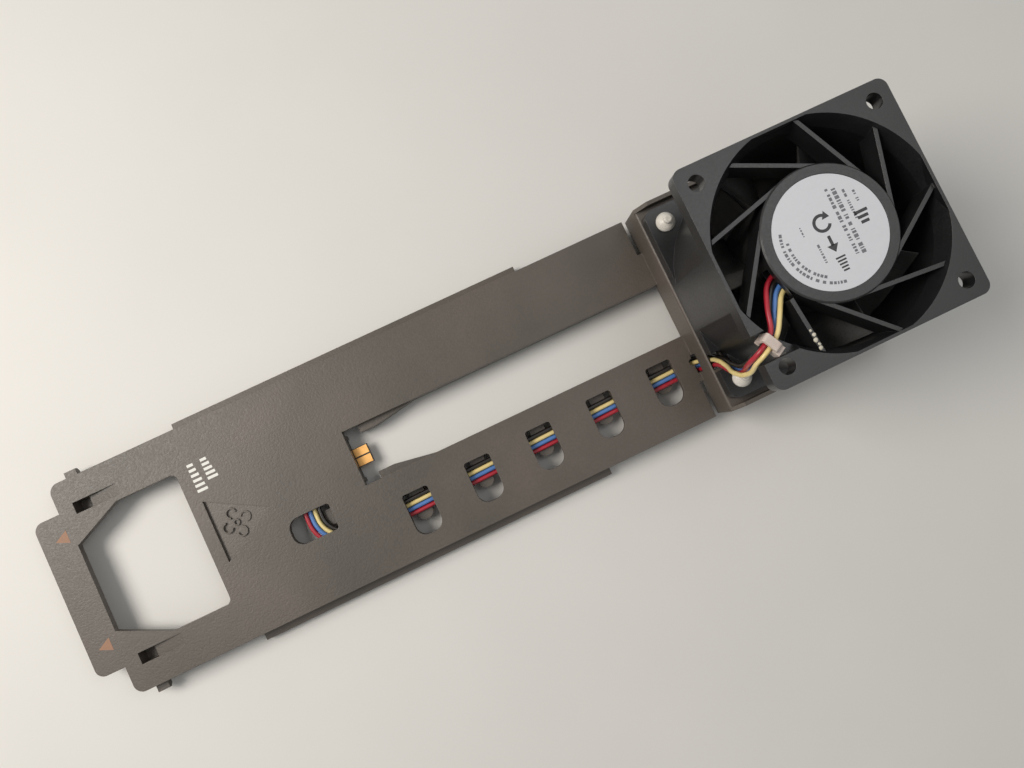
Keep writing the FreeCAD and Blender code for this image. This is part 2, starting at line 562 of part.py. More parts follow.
def statorBody():
    """Hub base at the outlet, held by straight vanes tangent to the hub."""
    r = S("(@hubDia / 2)")
    rIn = S("(@hubDia / 2 - @hubSkirtThick)")
    body = turned("StatorHub", [
        ("0", S("@hubTop - @labelInset")), (S("@labelDia / 2 + 0.1"), S("@hubTop - @labelInset")),
        (S("@labelDia / 2 + 0.1"), S("@hubTop")), (r + " - 0.4", S("@hubTop")), (r, S("@hubTop - 0.4")),
        (r, S("@hubSkirt")), (rIn, S("@hubSkirt")), (rIn, S("@hubTop - @hubPlate")),
        (S("@tubeSeatDia / 2"), S("@hubTop - @hubPlate")), (S("@tubeSeatDia / 2"), S("@tubeSeatLow")),
        (S("@bearingDia / 2 + @tubeWall"), S("@tubeSeatLow")),
        (S("@bearingDia / 2 + @tubeWall"), S("@hubTop - @hubPlate")), ("0", S("@hubTop - @hubPlate"))])
    vane = rectangle(newSketch(body, "Vane", level=S("@vaneLow")),
                     S("-@fanSide / 2"), "2.2", S("@vaneTangent - @vaneThick / 2"),
                     S("@vaneTangent + @vaneThick / 2"))
    vanePad = pad(body, vane, S("@vaneHigh - @vaneLow"))
    doc.recompute()
    polar(body, vanePad, S("@vaneCount"))
    trim = outline(newSketch(body, "VaneTrim", "XZ_Plane"), [
        (S("@fanSide / 2 - 0.4"), S("@vaneLow - 1")), (S("@fanSide"), S("@vaneLow - 1")),
        (S("@fanSide"), S("@vaneHigh + 1")), (S("@fanSide / 2 - 0.4"), S("@vaneHigh + 1"))])
    groove = body.newObject("PartDesign::Groove", "VaneTrimCut")
    groove.Profile = trim
    groove.ReferenceAxis = (trim, ["V_Axis"])
    groove.Angle = 360
    # the wires leave through a door in the skirt, and the vane in front of it is cut away above them
    doorLow, doorHigh = S("(@doorSide - @doorWidth / 2)"), S("(@doorSide + @doorWidth / 2)")
    door = rectangle(newSketch(body, "WireDoor", level=S("@boardLow + @boardThick")),
                     S("-@hubDia / 2 - 0.1"), S("-@hubDia / 2 + @hubSkirtThick + 3"), doorLow, doorHigh)
    pocket(body, door, S("@hubTop - @hubPlate - @boardLow - @boardThick - 0.3"), up=True)
    step = rectangle(newSketch(body, "VaneStep", level=S("@boardLow + @boardThick")),
                     S("-@hubDia / 2 - 3"), S("-@hubDia / 2"), doorLow, doorHigh)
    pocket(body, step, S("@hubTop - @boardLow"), up=True)
    return body


frameShellBody = frameShell()
flare = flareTool()
shell = doc.addObject("Part::Cut", "FlaredShell")
shell.Base, shell.Tool = frameShellBody, flare
stator = statorBody()
bind(stator, Placement_Rotation_Angle=S("@vaneAngle"))
housing = doc.addObject("Part::Fuse", "FanHousing")
housing.Base, housing.Tool = shell, stator
keep(seatInFan(housing), "fan_housing")

labelLow, labelHigh = S("@hubTop - @labelInset"), S("@hubTop - @labelInset + @labelThick")
label = turned("HubLabel", [("0", labelLow), (S("@labelDia / 2"), labelLow), (S("@labelDia / 2"), labelHigh),
                            ("0", labelHigh)])
keep(seatInFan(label), "hub_label")


# ---------------------------------------------------------------- rotor
def bladeShape():
    """One twisted blade: thin crescent sections at rising radii, lofted and trimmed at hub and tip."""
    hub, tip = size["rotorDia"] / 2, size["boreDia"] / 2 - size["tipGap"]
    low, high = size["bladeLow"], size["bladeHigh"]
    wires = []
    for share in (0.0, 0.35, 0.7, 1.0):
        radius = (hub - 2.5) * (1 - share) + (tip + 1.5) * share
        across = size["rootSweep"] * (1 - share) + size["tipSweep"] * share
        lead = Vector(radius, -across / 2, low + size["tipRise"] * share)
        trail = Vector(radius, across / 2, high)
        chord = trail - lead
        normal = Vector(0, -chord.z, chord.y).normalize()
        mid = (lead + trail) * 0.5 - normal * size["bladeCamber"]
        half = normal * (size["bladeThick"] / 2)
        upper = Part.Arc(lead, mid + half, trail).toShape()
        lower = Part.Arc(trail, mid - half, lead).toShape()
        wires.append(Part.Wire([upper, lower]))
    blade = Part.makeLoft(wires, True, False)
    tall = size["fanHeight"]
    band = Part.makeCylinder(tip, tall).cut(Part.makeCylinder(hub - size["rotorWall"] / 2, tall))
    return blade.common(band)


def impellerShape():
    hub = rotorHub.Shape
    blade = bladeShape()
    count = int(size["bladeCount"])
    blades = []
    for i in range(count):
        one = blade.copy()
        one.rotate(Vector(0, 0, 0), Vector(0, 0, 1), 360.0 * i / count)
        blades.append(one)
    return hub.fuse(blades)


rotorHub = turned("RotorHub", [
    ("0", S("@rotorLow")), (S("@rotorDia / 2 - @noseChamfer"), S("@rotorLow")),
    (S("@rotorDia / 2"), S("@rotorLow + @noseChamfer")), (S("@rotorDia / 2"), S("@rotorHigh")),
    (S("@rotorDia / 2 - @rotorWall"), S("@rotorHigh")),
    (S("@rotorDia / 2 - @rotorWall"), S("@rotorLow + @rotorWall")), ("0", S("@rotorLow + @rotorWall"))])
doc.recompute()
solidFeature("impeller", impellerShape(), inFan=True)

cupOut = S("(@rotorDia / 2 - @rotorWall - @cupGap)")
cupIn = S("(@rotorDia / 2 - @rotorWall - @cupGap - @cupWall)")
cupLow = S("(@rotorLow + @rotorWall)")
cup = turned("RotorCup", [
    (S("@bushDia / 2"), cupLow), (cupOut, cupLow), (cupOut, S("@rotorHigh - 0.2")),
    (cupIn, S("@rotorHigh - 0.2")), (cupIn, cupLow + S(" + @cupWall")),
    (S("@bushDia / 2"), cupLow + S(" + @cupWall"))])
keep(seatInFan(cup), "rotor_cup")

magnetIn = "(" + cupIn + S(" - @magnetThick)")
magnet = turned("Magnet", [(magnetIn, S("@magnetLow")), (cupIn, S("@magnetLow")),
                           (cupIn, S("@magnetHigh")), (magnetIn, S("@magnetHigh"))])
keep(seatInFan(magnet), "rotor_magnet")

bush = turned("ShaftBush", [
    (S("@shaftDia / 2"), cupLow), (S("@bushDia / 2"), cupLow), (S("@bushDia / 2"), cupLow + S(" + @cupWall")),
    (S("@bushDia / 2 - 0.9"), cupLow + S(" + @cupWall")),
    (S("@bushDia / 2 - 0.9"), cupLow + S(" + @bushLength")),
    (S("@shaftDia / 2"), cupLow + S(" + @bushLength"))])
keep(seatInFan(bush), "shaft_bush")

clipLow = S("(@highBearing + @bearingWide + @washerThick + @springRise)")
shaft = turned("Shaft", [
    ("0", cupLow), (S("@shaftDia / 2"), cupLow), (S("@shaftDia / 2"), clipLow),
    (S("@shaftDia / 2 - @clipGroove"), clipLow),
    (S("@shaftDia / 2 - @clipGroove"), clipLow + S(" + @clipThick")),
    (S("@shaftDia / 2"), clipLow + S(" + @clipThick")), (S("@shaftDia / 2"), S("@shaftTop - 0.4")),
    (S("@shaftDia / 2 - 0.4"), S("@shaftTop")), ("0", S("@shaftTop"))])
keep(seatInFan(shaft), "rotor_shaft")

ring = turned("ShaftClip", [
    (S("@shaftDia / 2 - @clipGroove"), clipLow), (S("@clipDia / 2"), clipLow),
    (S("@clipDia / 2"), clipLow + S(" + @clipThick")),
    (S("@shaftDia / 2 - @clipGroove"), clipLow + S(" + @clipThick"))])
keep(seatInFan(ring), "shaft_clip")


# ---------------------------------------------------------------- bearings and their tube
def bearing(name, label, low):
    """Sealed ball bearing: two rings with a recessed shield between them."""
    rIn, rOut = S("(@shaftDia / 2 + @runGap)"), S("(@bearingDia / 2)")
    top = "(" + low + S(" + @bearingWide)")
    ringIn, ringOut = rIn + S(" + @ringWall"), rOut + S(" - @ringWall")
    shieldLow, shieldHigh = low + S(" + @shieldInset"), top + S(" - @shieldInset")
    body = turned(name, [
        (rIn, low), (ringIn, low), (ringIn, shieldLow), (ringOut, shieldLow), (ringOut, low), (rOut, low),
        (rOut, top), (ringOut, top), (ringOut, shieldHigh), (ringIn, shieldHigh), (ringIn, top), (rIn, top)])
    keep(seatInFan(body), label)


bearing("LowBearing", "lower_bearing", S("@lowBearing"))
bearing("HighBearing", "upper_bearing", S("@highBearing"))

tubeOut = S("(@bearingDia / 2 + @tubeWall)")
tubeStep = S("(@bearingDia / 2 - 0.8)")
bearingTube = turned("BearingTube", [
    (S("@bearingDia / 2"), S("@tubeLow")), (tubeOut, S("@tubeLow")),
    (tubeOut, S("@hubTop - @hubPlate")), (S("@bearingDia / 2"), S("@hubTop - @hubPlate")),
    (S("@bearingDia / 2"), S("@highBearing")), (tubeStep, S("@highBearing - 0.8")),
    (tubeStep, S("@lowBearing + @bearingWide + 0.8")),
    (S("@bearingDia / 2"), S("@lowBearing + @bearingWide"))])
keep(seatInFan(bearingTube), "bearing_tube")

springLow = S("(@highBearing + @bearingWide)")
spring = turned("PreloadSpring", [
    (S("@shaftDia / 2 + 0.5"), springLow + S(" + @springRise")), (S("@bearingDia / 2 - 0.4"), springLow),
    (S("@bearingDia / 2 - 0.4"), springLow + S(" + @washerThick")),
    (S("@shaftDia / 2 + 0.5"), springLow + S(" + @springRise + @washerThick"))])
keep(seatInFan(spring), "preload_spring")

# ---------------------------------------------------------------- stator pack
coreR = "(" + magnetIn + S(" - @airGap)")
coreIn = tubeOut


def toothedRing(name, low, height, grow):
    """Ring with T-shaped teeth; grow widens the tooth and thins the air side."""
    body = newBody(name)
    ringSketch = newSketch(body, name + "Ring", level=low)
    circle(ringSketch, "0", "0", "2 * " + coreIn)
    circle(ringSketch, "0", "0", "2 * (" + coreIn + S(" + @coreRing)"))
    pad(body, ringSketch, height)
    half = S("(@toothWidth / 2 + ") + grow + ")"
    edge = "(" + coreR + " - " + grow + ")"
    wing = "(" + edge + S(" * sin(@shoeAngle / 2 * 1deg))")
    back = "(" + edge + S(" * cos(@shoeAngle / 2 * 1deg))")
    tooth = outline(newSketch(body, name + "Tooth", level=low), [
        (coreIn + " + 0.6", "-" + half), (back + S(" - @shoeDepth"), "-" + half),
        (back + S(" - @shoeDepth * 0.5"), "-" + wing), (back, "-" + wing),
        (edge, "-" + wing + " * 0.4"), (edge, wing + " * 0.4"), (back, wing),
        (back + S(" - @shoeDepth * 0.5"), wing), (back + S(" - @shoeDepth"), half),
        (coreIn + " + 0.6", half)])
    toothPad = pad(body, tooth, height)
    doc.recompute()
    polar(body, toothPad, S("@toothCount"))
    return body


core = toothedRing("StatorCore", S("@coreLow"), S("@coreHigh - @coreLow"), "0")
keep(seatInFan(core), "stator_core")
topInsulator = toothedRing("TopInsulator", S("@coreHigh"), S("@insulator"), "0.2")
keep(seatInFan(topInsulator), "top_insulator")
lowInsulator = toothedRing("LowInsulator", S("@coreLow - @insulator"), S("@insulator"), "0.2")
keep(seatInFan(lowInsulator), "bottom_insulator")


def coilShapes():
    """One winding round each tooth: a rounded frame that clears the tooth and its insulators."""
    inner = size["bearingDia"] / 2 + size["tubeWall"] + size["coreRing"] + 0.25
    magnetInner = (size["rotorDia"] / 2 - size["rotorWall"] - size["cupGap"] - size["cupWall"]
                   - size["magnetThick"])
    edge = magnetInner - size["airGap"]
    outer = edge * math.cos(math.radians(size["shoeAngle"] / 2)) - size["shoeDepth"] - 0.35
    halfTooth = size["toothWidth"] / 2 + 0.3
    low = size["coreLow"] - size["insulator"] - 0.1
    high = size["coreHigh"] + size["insulator"] + 0.1
    t = size["coilThick"]
    # the windings crowd together at the ring, so their sides taper in towards it
    room = inner * math.tan(math.pi / size["toothCount"]) - 0.15
    tIn = min(t, room - halfTooth)

    def frame(extraIn, extraOut, rise):
        points = [Vector(inner, -halfTooth - extraIn, 0), Vector(outer, -halfTooth - extraOut, 0),
                  Vector(outer, halfTooth + extraOut, 0), Vector(inner, halfTooth + extraIn, 0)]
        face = Part.Face(Part.makePolygon(points + points[:1]))
        face.translate(Vector(0, 0, low - rise))
        return face.extrude(Vector(0, 0, high - low + 2 * rise))

    coil = frame(tIn, t, t).cut(frame(0, 0, 0))
    coil = coil.cut(Part.makeBox(outer - inner + 2, 2 * halfTooth, high - low,
                                 Vector(inner - 1, -halfTooth, low)))
    coils = []
    for i in range(int(size["toothCount"])):
        one = coil.copy()
        one.rotate(Vector(0, 0, 0), Vector(0, 0, 1), 360.0 * i / size["toothCount"])
        coils.append(one)
    return Part.makeCompound(coils)


solidFeature("stator_coils", coilShapes(), inFan=True)

# ---------------------------------------------------------------- circuit board
boardTop = S("(@boardLow + @boardThick)")
skirtIn = S("(@hubDia / 2 - @hubSkirtThick)")
board = newBody("BoardBody")
boardSketch = newSketch(board, "BoardOutline", level=S("@boardLow"))
circle(boardSketch, "0", "0", "2 * (" + skirtIn + S(" - @boardGap)"))
circle(boardSketch, "0", "0", "2 * (" + tubeOut + S(" + @boardGap / 2)"))
pad(board, boardSketch, S("@boardThick"))
keep(seatInFan(board), "circuit_board")


boardR = size["hubDia"] / 2 - size["hubSkirtThick"] - size["boardGap"]


def chip(name, label, kind, angle, below=False):
    """Moulded package on the board, set square to the radius at the given angle."""
    box = doc.addObject("Part::Box", name)
    level = S("@boardLow - @%sHigh" % kind) if below else boardTop
    bind(box, Length=S("@%sLength" % kind), Width=S("@%sWidth" % kind), Height=S("@%sHigh" % kind))
    turn = math.radians(angle)
    radius, width = boardR * size[kind + "Share"], size[kind + "Width"]
    x = radius * math.cos(turn) + width / 2 * math.sin(turn)
    y = radius * math.sin(turn) - width / 2 * math.cos(turn)
    box.Placement = Placement(Vector(x, y, 0), Rotation(Vector(0, 0, 1), angle))
    bind(box, Placement_Base_x=fanX + " + %.3f" % x, Placement_Base_z=fanZ + " + " + level)
    return keep(box, label)


chip("DriverChip", "driver_chip", "driver", 60)
chip("PowerSwitches", "power_switch", "switch", 330)
chip("HallSensor", "hall_sensor", "hall", 30, below=True)
capacitor = bind(doc.addObject("Part::Cylinder", "Capacitor"), Radius=S("@canDia / 2"), Height=S("@canHigh"),
                 Placement_Base_x=fanX + " + 1.5", Placement_Base_y="%.3f" % (-boardR * size["canShare"]),
                 Placement_Base_z=fanZ + " + " + boardTop)
keep(capacitor, "board_capacitor")


# ---------------------------------------------------------------- rubber mounts
def mountProfile():
    """Collar between deck and flange, a foot below the deck and a domed head with its pull tail."""
    foot = S("(@mountCollar + @deckThick)")
    wide, neck = S("(@mountNeck / 2)"), S("(@mountStem / 2)")
    head = S("@flangeLow")
    return [
        ("0", "-" + foot + S(" - @mountFoot")), (S("@mountDia / 2 - 0.6"), "-" + foot + S(" - @mountFoot")),
        (S("@mountDia / 2"), "-" + foot), (wide, "-" + foot), (wide, S("-@mountCollar")),
        (S("@mountDia / 2"), S("-@mountCollar")), (S("@mountDia / 2"), "0"), (neck, "0"), (neck, head),
        (S("@mountHead / 2"), head), (S("@mountHead / 2"), head + S(" + @mountDome * 0.35")),
        (S("@mountHead / 2 * 0.8"), head + S(" + @mountDome * 0.75")),
        (S("@mountTail / 2 + 0.35"), head + S(" + @mountDome")),
        (S("@mountTail / 2"), head + S(" + @mountDome + 0.2")),
        (S("@mountTail / 2"), head + S(" + @mountDome + @tailHeight - 0.3")),
        (S("@mountTail / 2 - 0.3"), head + S(" + @mountDome + @tailHeight")),
        ("0", head + S(" + @mountDome + @tailHeight"))]


oneMount = turned("RubberMount", mountProfile())
doc.recompute()
copies = []
for sx in (-1, 1):
    for sy in (-1, 1):
        one = oneMount.Shape.copy()
        one.translate(Vector(sx * size["holePitch"] / 2, sy * size["holePitch"] / 2, 0))
        copies.append(one)
solidFeature("rubber_mounts", Part.makeCompound(copies), inFan=True)

# ---------------------------------------------------------------- connector
windowX = "(" + noseX + S(" + @windowStart)")
plug = newBody("ConnectorBody")
plugY0, plugY1 = S("(@windowSide - @plugWidth / 2)"), S("(@windowSide + @plugWidth / 2)")
pad(plug, rectangle(newSketch(plug, "PlugBlock", level=S("@plugLow")),
                    windowX + S(" - @plugLength"), windowX + " - 0.4", plugY0, plugY1),
    plateLow + S(" - @plugLow"))
mouth = rectangle(newSketch(plug, "PlugMouth", level=S("@bladeMid - @bladeCore / 2")),
                  windowX + " - 2.4", windowX + " - 0.4",
                  S("@windowSide - @bladeWidth / 2"), S("@windowSide + @bladeWidth / 2"))
pocket(plug, mouth, S("@bladeCore"), up=True)
keep(plug, "connector_body")

bladeCore = bind(doc.addObject("Part::Box", "ConnectorBlade"), Length=S("@bladeLength + 2.4"),
                 Width=S("@bladeWidth"), Height=S("@bladeCore"), Placement_Base_x=windowX + " - 2.4",
                 Placement_Base_y=S("@windowSide - @bladeWidth / 2"),
                 Placement_Base_z=S("@bladeMid - @bladeCore / 2"))
keep(bladeCore, "connector_blade")


def contacts():
    """Two gold contacts on each face of the blade, folded over its front edge."""
    start = size["windowStart"] - size["carrierLength"] / 2 - 0.4
    width = (size["bladeWidth"] - size["contactGap"]) / 2 - 0.2
    t = size["contactThick"]
    pieces = []
    for side in (-1, 1):
        for face in (-1, 1):
            y = size["windowSide"] + side * (size["contactGap"] + width) / 2
            z = size["bladeMid"] + face * (size["bladeCore"] + t) / 2
            strip = Part.makeBox(size["bladeLength"] - 0.2, width, t,
                                 Vector(start + 0.4, y - width / 2, z - t / 2))
            pieces.append(strip)
    return Part.makeCompound(pieces)


solidFeature("gold_contacts", contacts())


# ---------------------------------------------------------------- wires
def fitArcs(points):
    """Straight runs joined by tangent arcs; returns the wire's edges and the arc radii."""
    edges, radii = [], []
    start = points[0]
    for before, corner, after in zip(points, points[1:], points[2:]):
        u, v = (before - corner), (after - corner)
        turn = math.pi - u.getAngle(v)
        radius = min(0.45 * min(u.Length, v.Length) / math.tan(turn / 2), size["wireBend"])
        cut = radius * math.tan(turn / 2)
        a = corner + u.normalize() * cut
        b = corner + v.normalize() * cut
        mid = corner + (u + v).normalize() * (math.hypot(radius, cut) - radius)
        edges.append(Part.LineSegment(start, a).toShape())
        edges.append(Part.Arc(a, mid, b).toShape())
        radii.append(radius)
        start = b
    edges.append(Part.LineSegment(start, points[-1]).toShape())
    return edges, radii


def sweptWire(points, diameter, name):
    edges, radii = fitArcs(points)
    path = Part.Wire(edges)
    ahead = (points[1] - points[0]).normalize()
    ring = Part.Wire([Part.makeCircle(diameter / 2, points[0], ahead)])
    solid = path.makePipeShell([ring], True, False)
    expected = path.Length * math.pi * diameter ** 2 / 4
    print("%s: length %.1f mm, least radius %.1f mm, volume %.4f of section x length"
          % (name, path.Length, min(radii), solid.Volume / expected))
    if abs(solid.Volume / expected - 1) > 0.02:
        raise RuntimeError(name + " does not sweep to its full volume")
    return solid


# How the four wires lie beside each other, in pitches to the right of and above the run's middle,
# seen along the run. They leave the board side by side, close up for the tie, swap red and yellow
# on the way down and end as a flat row.
layouts = {
    "spread": {"red": (1.5, 0), "black": (0.5, 0), "blue": (-0.5, 0), "yellow": (-1.5, 0)},
    "gather": {"red": (1.15, 0.45), "black": (0.5, -0.35), "blue": (-0.5, -0.35), "yellow": (-1.15, 0.45)},
    "square": {"red": (0.5, 0.5), "black": (0.5, -0.5), "blue": (-0.5, -0.5), "yellow": (-0.5, 0.5)},
    "open": {"red": (0.5, 0.5), "black": (0.5, -0.5), "blue": (-0.5, -0.5), "yellow": (-0.75, 1.2)},
    "cross": {"red": (0, 0.42), "black": (0.5, -0.5), "blue": (-0.5, -0.5), "yellow": (0, 1.45)},
    "close": {"red": (-0.5, 0.5), "black": (0.5, -0.5), "blue": (-0.5, -0.5), "yellow": (0.75, 1.2)},
    "swapped": {"red": (-0.5, 0.5), "black": (0.5, -0.5), "blue": (-0.5, -0.5), "yellow": (0.5, 0.5)},
    "loosen": {"red": (-1.25, 0.35), "black": (1.25, -0.45), "blue": (-0.45, -0.5), "yellow": (0.5, 0.4)},
    "flat": {"red": (-1.5, 0), "black": (1.5, 0), "blue": (-0.5, 0), "yellow": (0.5, 0)},
}
# Middle of the run, its layout and its twist in degrees. X is from the fan's axis down to the gate,
# and from the carrier's nose under the plate, where the clips and the connector are; Z is from below.
byFan = [
    ((-9.8, -4.6, 51.9), "spread", 0),
    ((-17.2, -5.8, 52.8), "spread", 0),
    ((-20.8, -11.6, 53.9), "gather", 0),
    ((-23.4, -17.0, 54.6), "square", 0),
    ((-28.4, -19.7, 54.8), "square", 0),
    ((-29.9, -20.7, 52.4), "square", 2),
    ((-29.5, -21.6, 47.6), "open", 4),
    ((-29.3, -22.2, 42.6), "cross", 8),
    ((-29.1, -22.1, 37.2), "close", 18),
    ((-28.8, -20.8, 31.2), "swapped", 29),
    ((-28.4, -18.9, 26.0), "swapped", 38),
    ((-28.0, -17.9, 20.4), "swapped", 41),
    ((-27.9, -17.4, 12.6), "loosen", 43),
    ((-28.9, -16.4, 4.2), "loosen", 43),
    ((-36.6, -16.1, 4.8), "flat", 49),
]
byNose = [
    ((147.6, -17.3, 4.95), "flat", 50),
    ((81.2, -18.9, 4.95), "flat", 50),
    ((75.4, -13.2, 4.95), "flat", 50),
    ((75.6, -4.0, 4.95), "flat", 50),
    ((80.8, 2.2, 3.4), "flat", 50),
    ((84.8, 2.2, 3.4), "flat", 50),
]
fanAxis = size["carrierLength"] / 2 - size["trayWall"] - size["endGap"] - size["fanSide"] / 2
noseEnd = -size["carrierLength"] / 2
stations = [(Vector(x + fanAxis, y, z), layout, twist) for (x, y, z), layout, twist in byFan]
stations += [(Vector(x + noseEnd, y, z), layout, twist) for (x, y, z), layout, twist in byNose]


def runFrames():
    """At each station: its point, the runs before and after, and the axes across the run."""
    points = [point for point, _, _ in stations]
    runs = [(b - a).normalize() for a, b in zip(points, points[1:])]
    right = runs[0].cross(Vector(0, 0, 1)).normalize()
    frames = []
    for i, (point, (_, _, twist)) in enumerate(zip(points, stations)):
        before, after = runs[max(i - 1, 0)], runs[min(i, len(runs) - 1)]
        side = Rotation(before, twist).multVec(right)
        frames.append((point, before, after, side, side.cross(before).normalize()))
        right = Rotation(before, after).multVec(right)
    return frames


def wireRoute(colour):
    """Corners of one wire's route, each moved along its run into the corner's middle plane."""
    corners = []
    for (point, before, after, side, above), (_, layout, _) in zip(runFrames(), stations):
        right, up = layouts[layout][colour]
        offset = (side * right + above * up) * size["wirePitch"]
        slide = -offset.dot(after) / (1 + before.dot(after))
        corners.append(point + offset + before * slide)
    return corners


for colour in ("black", "yellow", "blue", "red"):
    solidFeature(colour + "_wire", sweptWire(wireRoute(colour), size["wireDia"], colour + " wire"))


# ---------------------------------------------------------------- cable tie
def cableTie():
    """Flat strap looped round the four wires in the frame's notch, with its square head at the side."""
    room = size["wirePitch"] + size["wireDia"] + 2 * size["tieRoom"]
    t, w = size["tieThick"], size["tieWidth"]
    outer = Part.makeBox(w, room + 2 * t, room + 2 * t, Vector(-w / 2, -room / 2 - t, -room / 2 - t))
    outer = outer.makeFillet(t * 0.9, [e for e in outer.Edges if e.BoundBox.XLength > w / 2])
    inner = Part.makeBox(w + 2, room, room, Vector(-w / 2 - 1, -room / 2, -room / 2))
    head = Part.makeBox(w + 0.4, 2.1, 2.6, Vector(-w / 2 - 0.2, -room / 2 - 2.1, -1.3))
    loop = outer.fuse(head).cut(inner).removeSplitter()
    start, end = runFrames()[3], runFrames()[4]
    along, side = end[1], end[3]
    above = along.cross(side)
    centre = start[0] + (end[0] - start[0]) * size["tieShare"]
    turn = FreeCAD.Matrix(along.x, side.x, above.x, centre.x, along.y, side.y, above.y, centre.y,
                          along.z, side.z, above.z, centre.z, 0, 0, 0, 1)
    loop.Placement = Placement(turn)
    return loop


solidFeature("cable_tie", cableTie())

# ---------------------------------------------------------------- check and write
doc.recompute()
for obj in doc.Objects:
    if "Invalid" in obj.State or "Error" in obj.State:
        raise RuntimeError("%s failed: %s" % (obj.Name, obj.State))
os.makedirs("parts", exist_ok=True)
triangles = 0
for obj in nodes:
    shape = obj.Shape
    if shape.isNull() or not shape.isValid() or not shape.Solids:
        raise RuntimeError(obj.Label + " has no valid solid")
    shape.exportStep("parts/%s.step" % obj.Label)
    triangles += len(shape.tessellate(0.1)[1])
print("%d nodes, about %d triangles" % (len(nodes), triangles))
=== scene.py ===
import math
import random

import bmesh
import bpy
from mathutils import Matrix, Vector, noise
from mathutils.bvhtree import BVHTree


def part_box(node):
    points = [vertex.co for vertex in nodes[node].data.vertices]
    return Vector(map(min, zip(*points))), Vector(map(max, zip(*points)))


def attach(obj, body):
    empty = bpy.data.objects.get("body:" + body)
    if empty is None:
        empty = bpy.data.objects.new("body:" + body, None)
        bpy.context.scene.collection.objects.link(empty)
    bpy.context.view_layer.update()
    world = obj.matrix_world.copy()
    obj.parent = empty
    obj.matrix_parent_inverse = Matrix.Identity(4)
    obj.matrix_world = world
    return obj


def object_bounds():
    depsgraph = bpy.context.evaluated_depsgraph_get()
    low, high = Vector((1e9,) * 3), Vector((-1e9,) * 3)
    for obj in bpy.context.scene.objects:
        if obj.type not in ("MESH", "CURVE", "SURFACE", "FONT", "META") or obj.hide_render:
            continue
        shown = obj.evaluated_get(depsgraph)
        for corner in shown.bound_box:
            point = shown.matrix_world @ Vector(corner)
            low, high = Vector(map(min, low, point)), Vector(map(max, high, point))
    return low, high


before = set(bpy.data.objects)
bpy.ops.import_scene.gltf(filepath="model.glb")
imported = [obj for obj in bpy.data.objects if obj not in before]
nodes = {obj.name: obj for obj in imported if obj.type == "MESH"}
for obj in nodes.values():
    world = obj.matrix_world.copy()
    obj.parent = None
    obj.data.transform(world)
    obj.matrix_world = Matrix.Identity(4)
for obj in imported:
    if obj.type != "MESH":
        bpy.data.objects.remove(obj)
mm = 0.001


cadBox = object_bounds()
print("frame loaded:", len(nodes), "nodes")

# the Mix node's colour sockets go by number
mixFactor, mixFirst, mixSecond, mixResult = 0, 6, 7, 2
# noise seldom leaves the middle of its range, so this band of it is spread over the whole
noiseBand = {"From Min": 0.3, "From Max": 0.7}
fullBand = {"From Min": 0.0, "From Max": 1.0}


def toLinear(code):
    channels = [int(code[i:i + 2], 16) / 255 for i in (1, 3, 5)]
    return [c / 12.92 if c <= 0.04045 else ((c + 0.055) / 1.055) ** 2.4 for c in channels] + [1]


def perMetre(size):
    # pattern repeats in one metre for a feature of this many millimetres
    return 1000 / size


def addNode(tree, kind, values=None, links=None, **settings):
    node = tree.nodes.new("ShaderNode" + kind)
    for key, value in settings.items():
        setattr(node, key, value)
    for key, value in (values or {}).items():
        node.inputs[key].default_value = value
    for key, source in (links or {}).items():
        tree.links.new(source, node.inputs[key])
    return node


def newMaterial(name, **surface):
    material = bpy.data.materials.new(name)
    material.use_nodes = True
    tree = material.node_tree
    shader = tree.nodes["Principled BSDF"]
    for key, value in surface.items():
        shader.inputs[key].default_value = value
    where = addNode(tree, "TexCoord").outputs["Object"]
    return material, tree, shader, where


def plugIn(tree, shader, colour, gloss, bump):
    tree.links.new(colour.outputs[mixResult], shader.inputs["Base Color"])
    tree.links.new(gloss.outputs["Result"], shader.inputs["Roughness"])
    tree.links.new(bump.outputs["Normal"], shader.inputs["Normal"])


def dressSurface(tree, shader, finish, tint, gloss, relief, band=noiseBand):
    # two colours, a range of roughness and a relief in millimetres, each led by a pattern of its own
    colour = addNode(tree, "Mix", {mixFirst: toLinear(finish["dark"]), mixSecond: toLinear(finish["colour"])},
                     {mixFactor: tint}, data_type="RGBA")
    low, high = finish["rough"]
    shine = addNode(tree, "MapRange", {**band, "To Min": low, "To Max": high}, {"Value": gloss})
    bump = addNode(tree, "Bump", {"Strength": finish["strength"], "Distance": finish["depth"] * mm},
                   {"Height": relief})
    plugIn(tree, shader, colour, shine, bump)


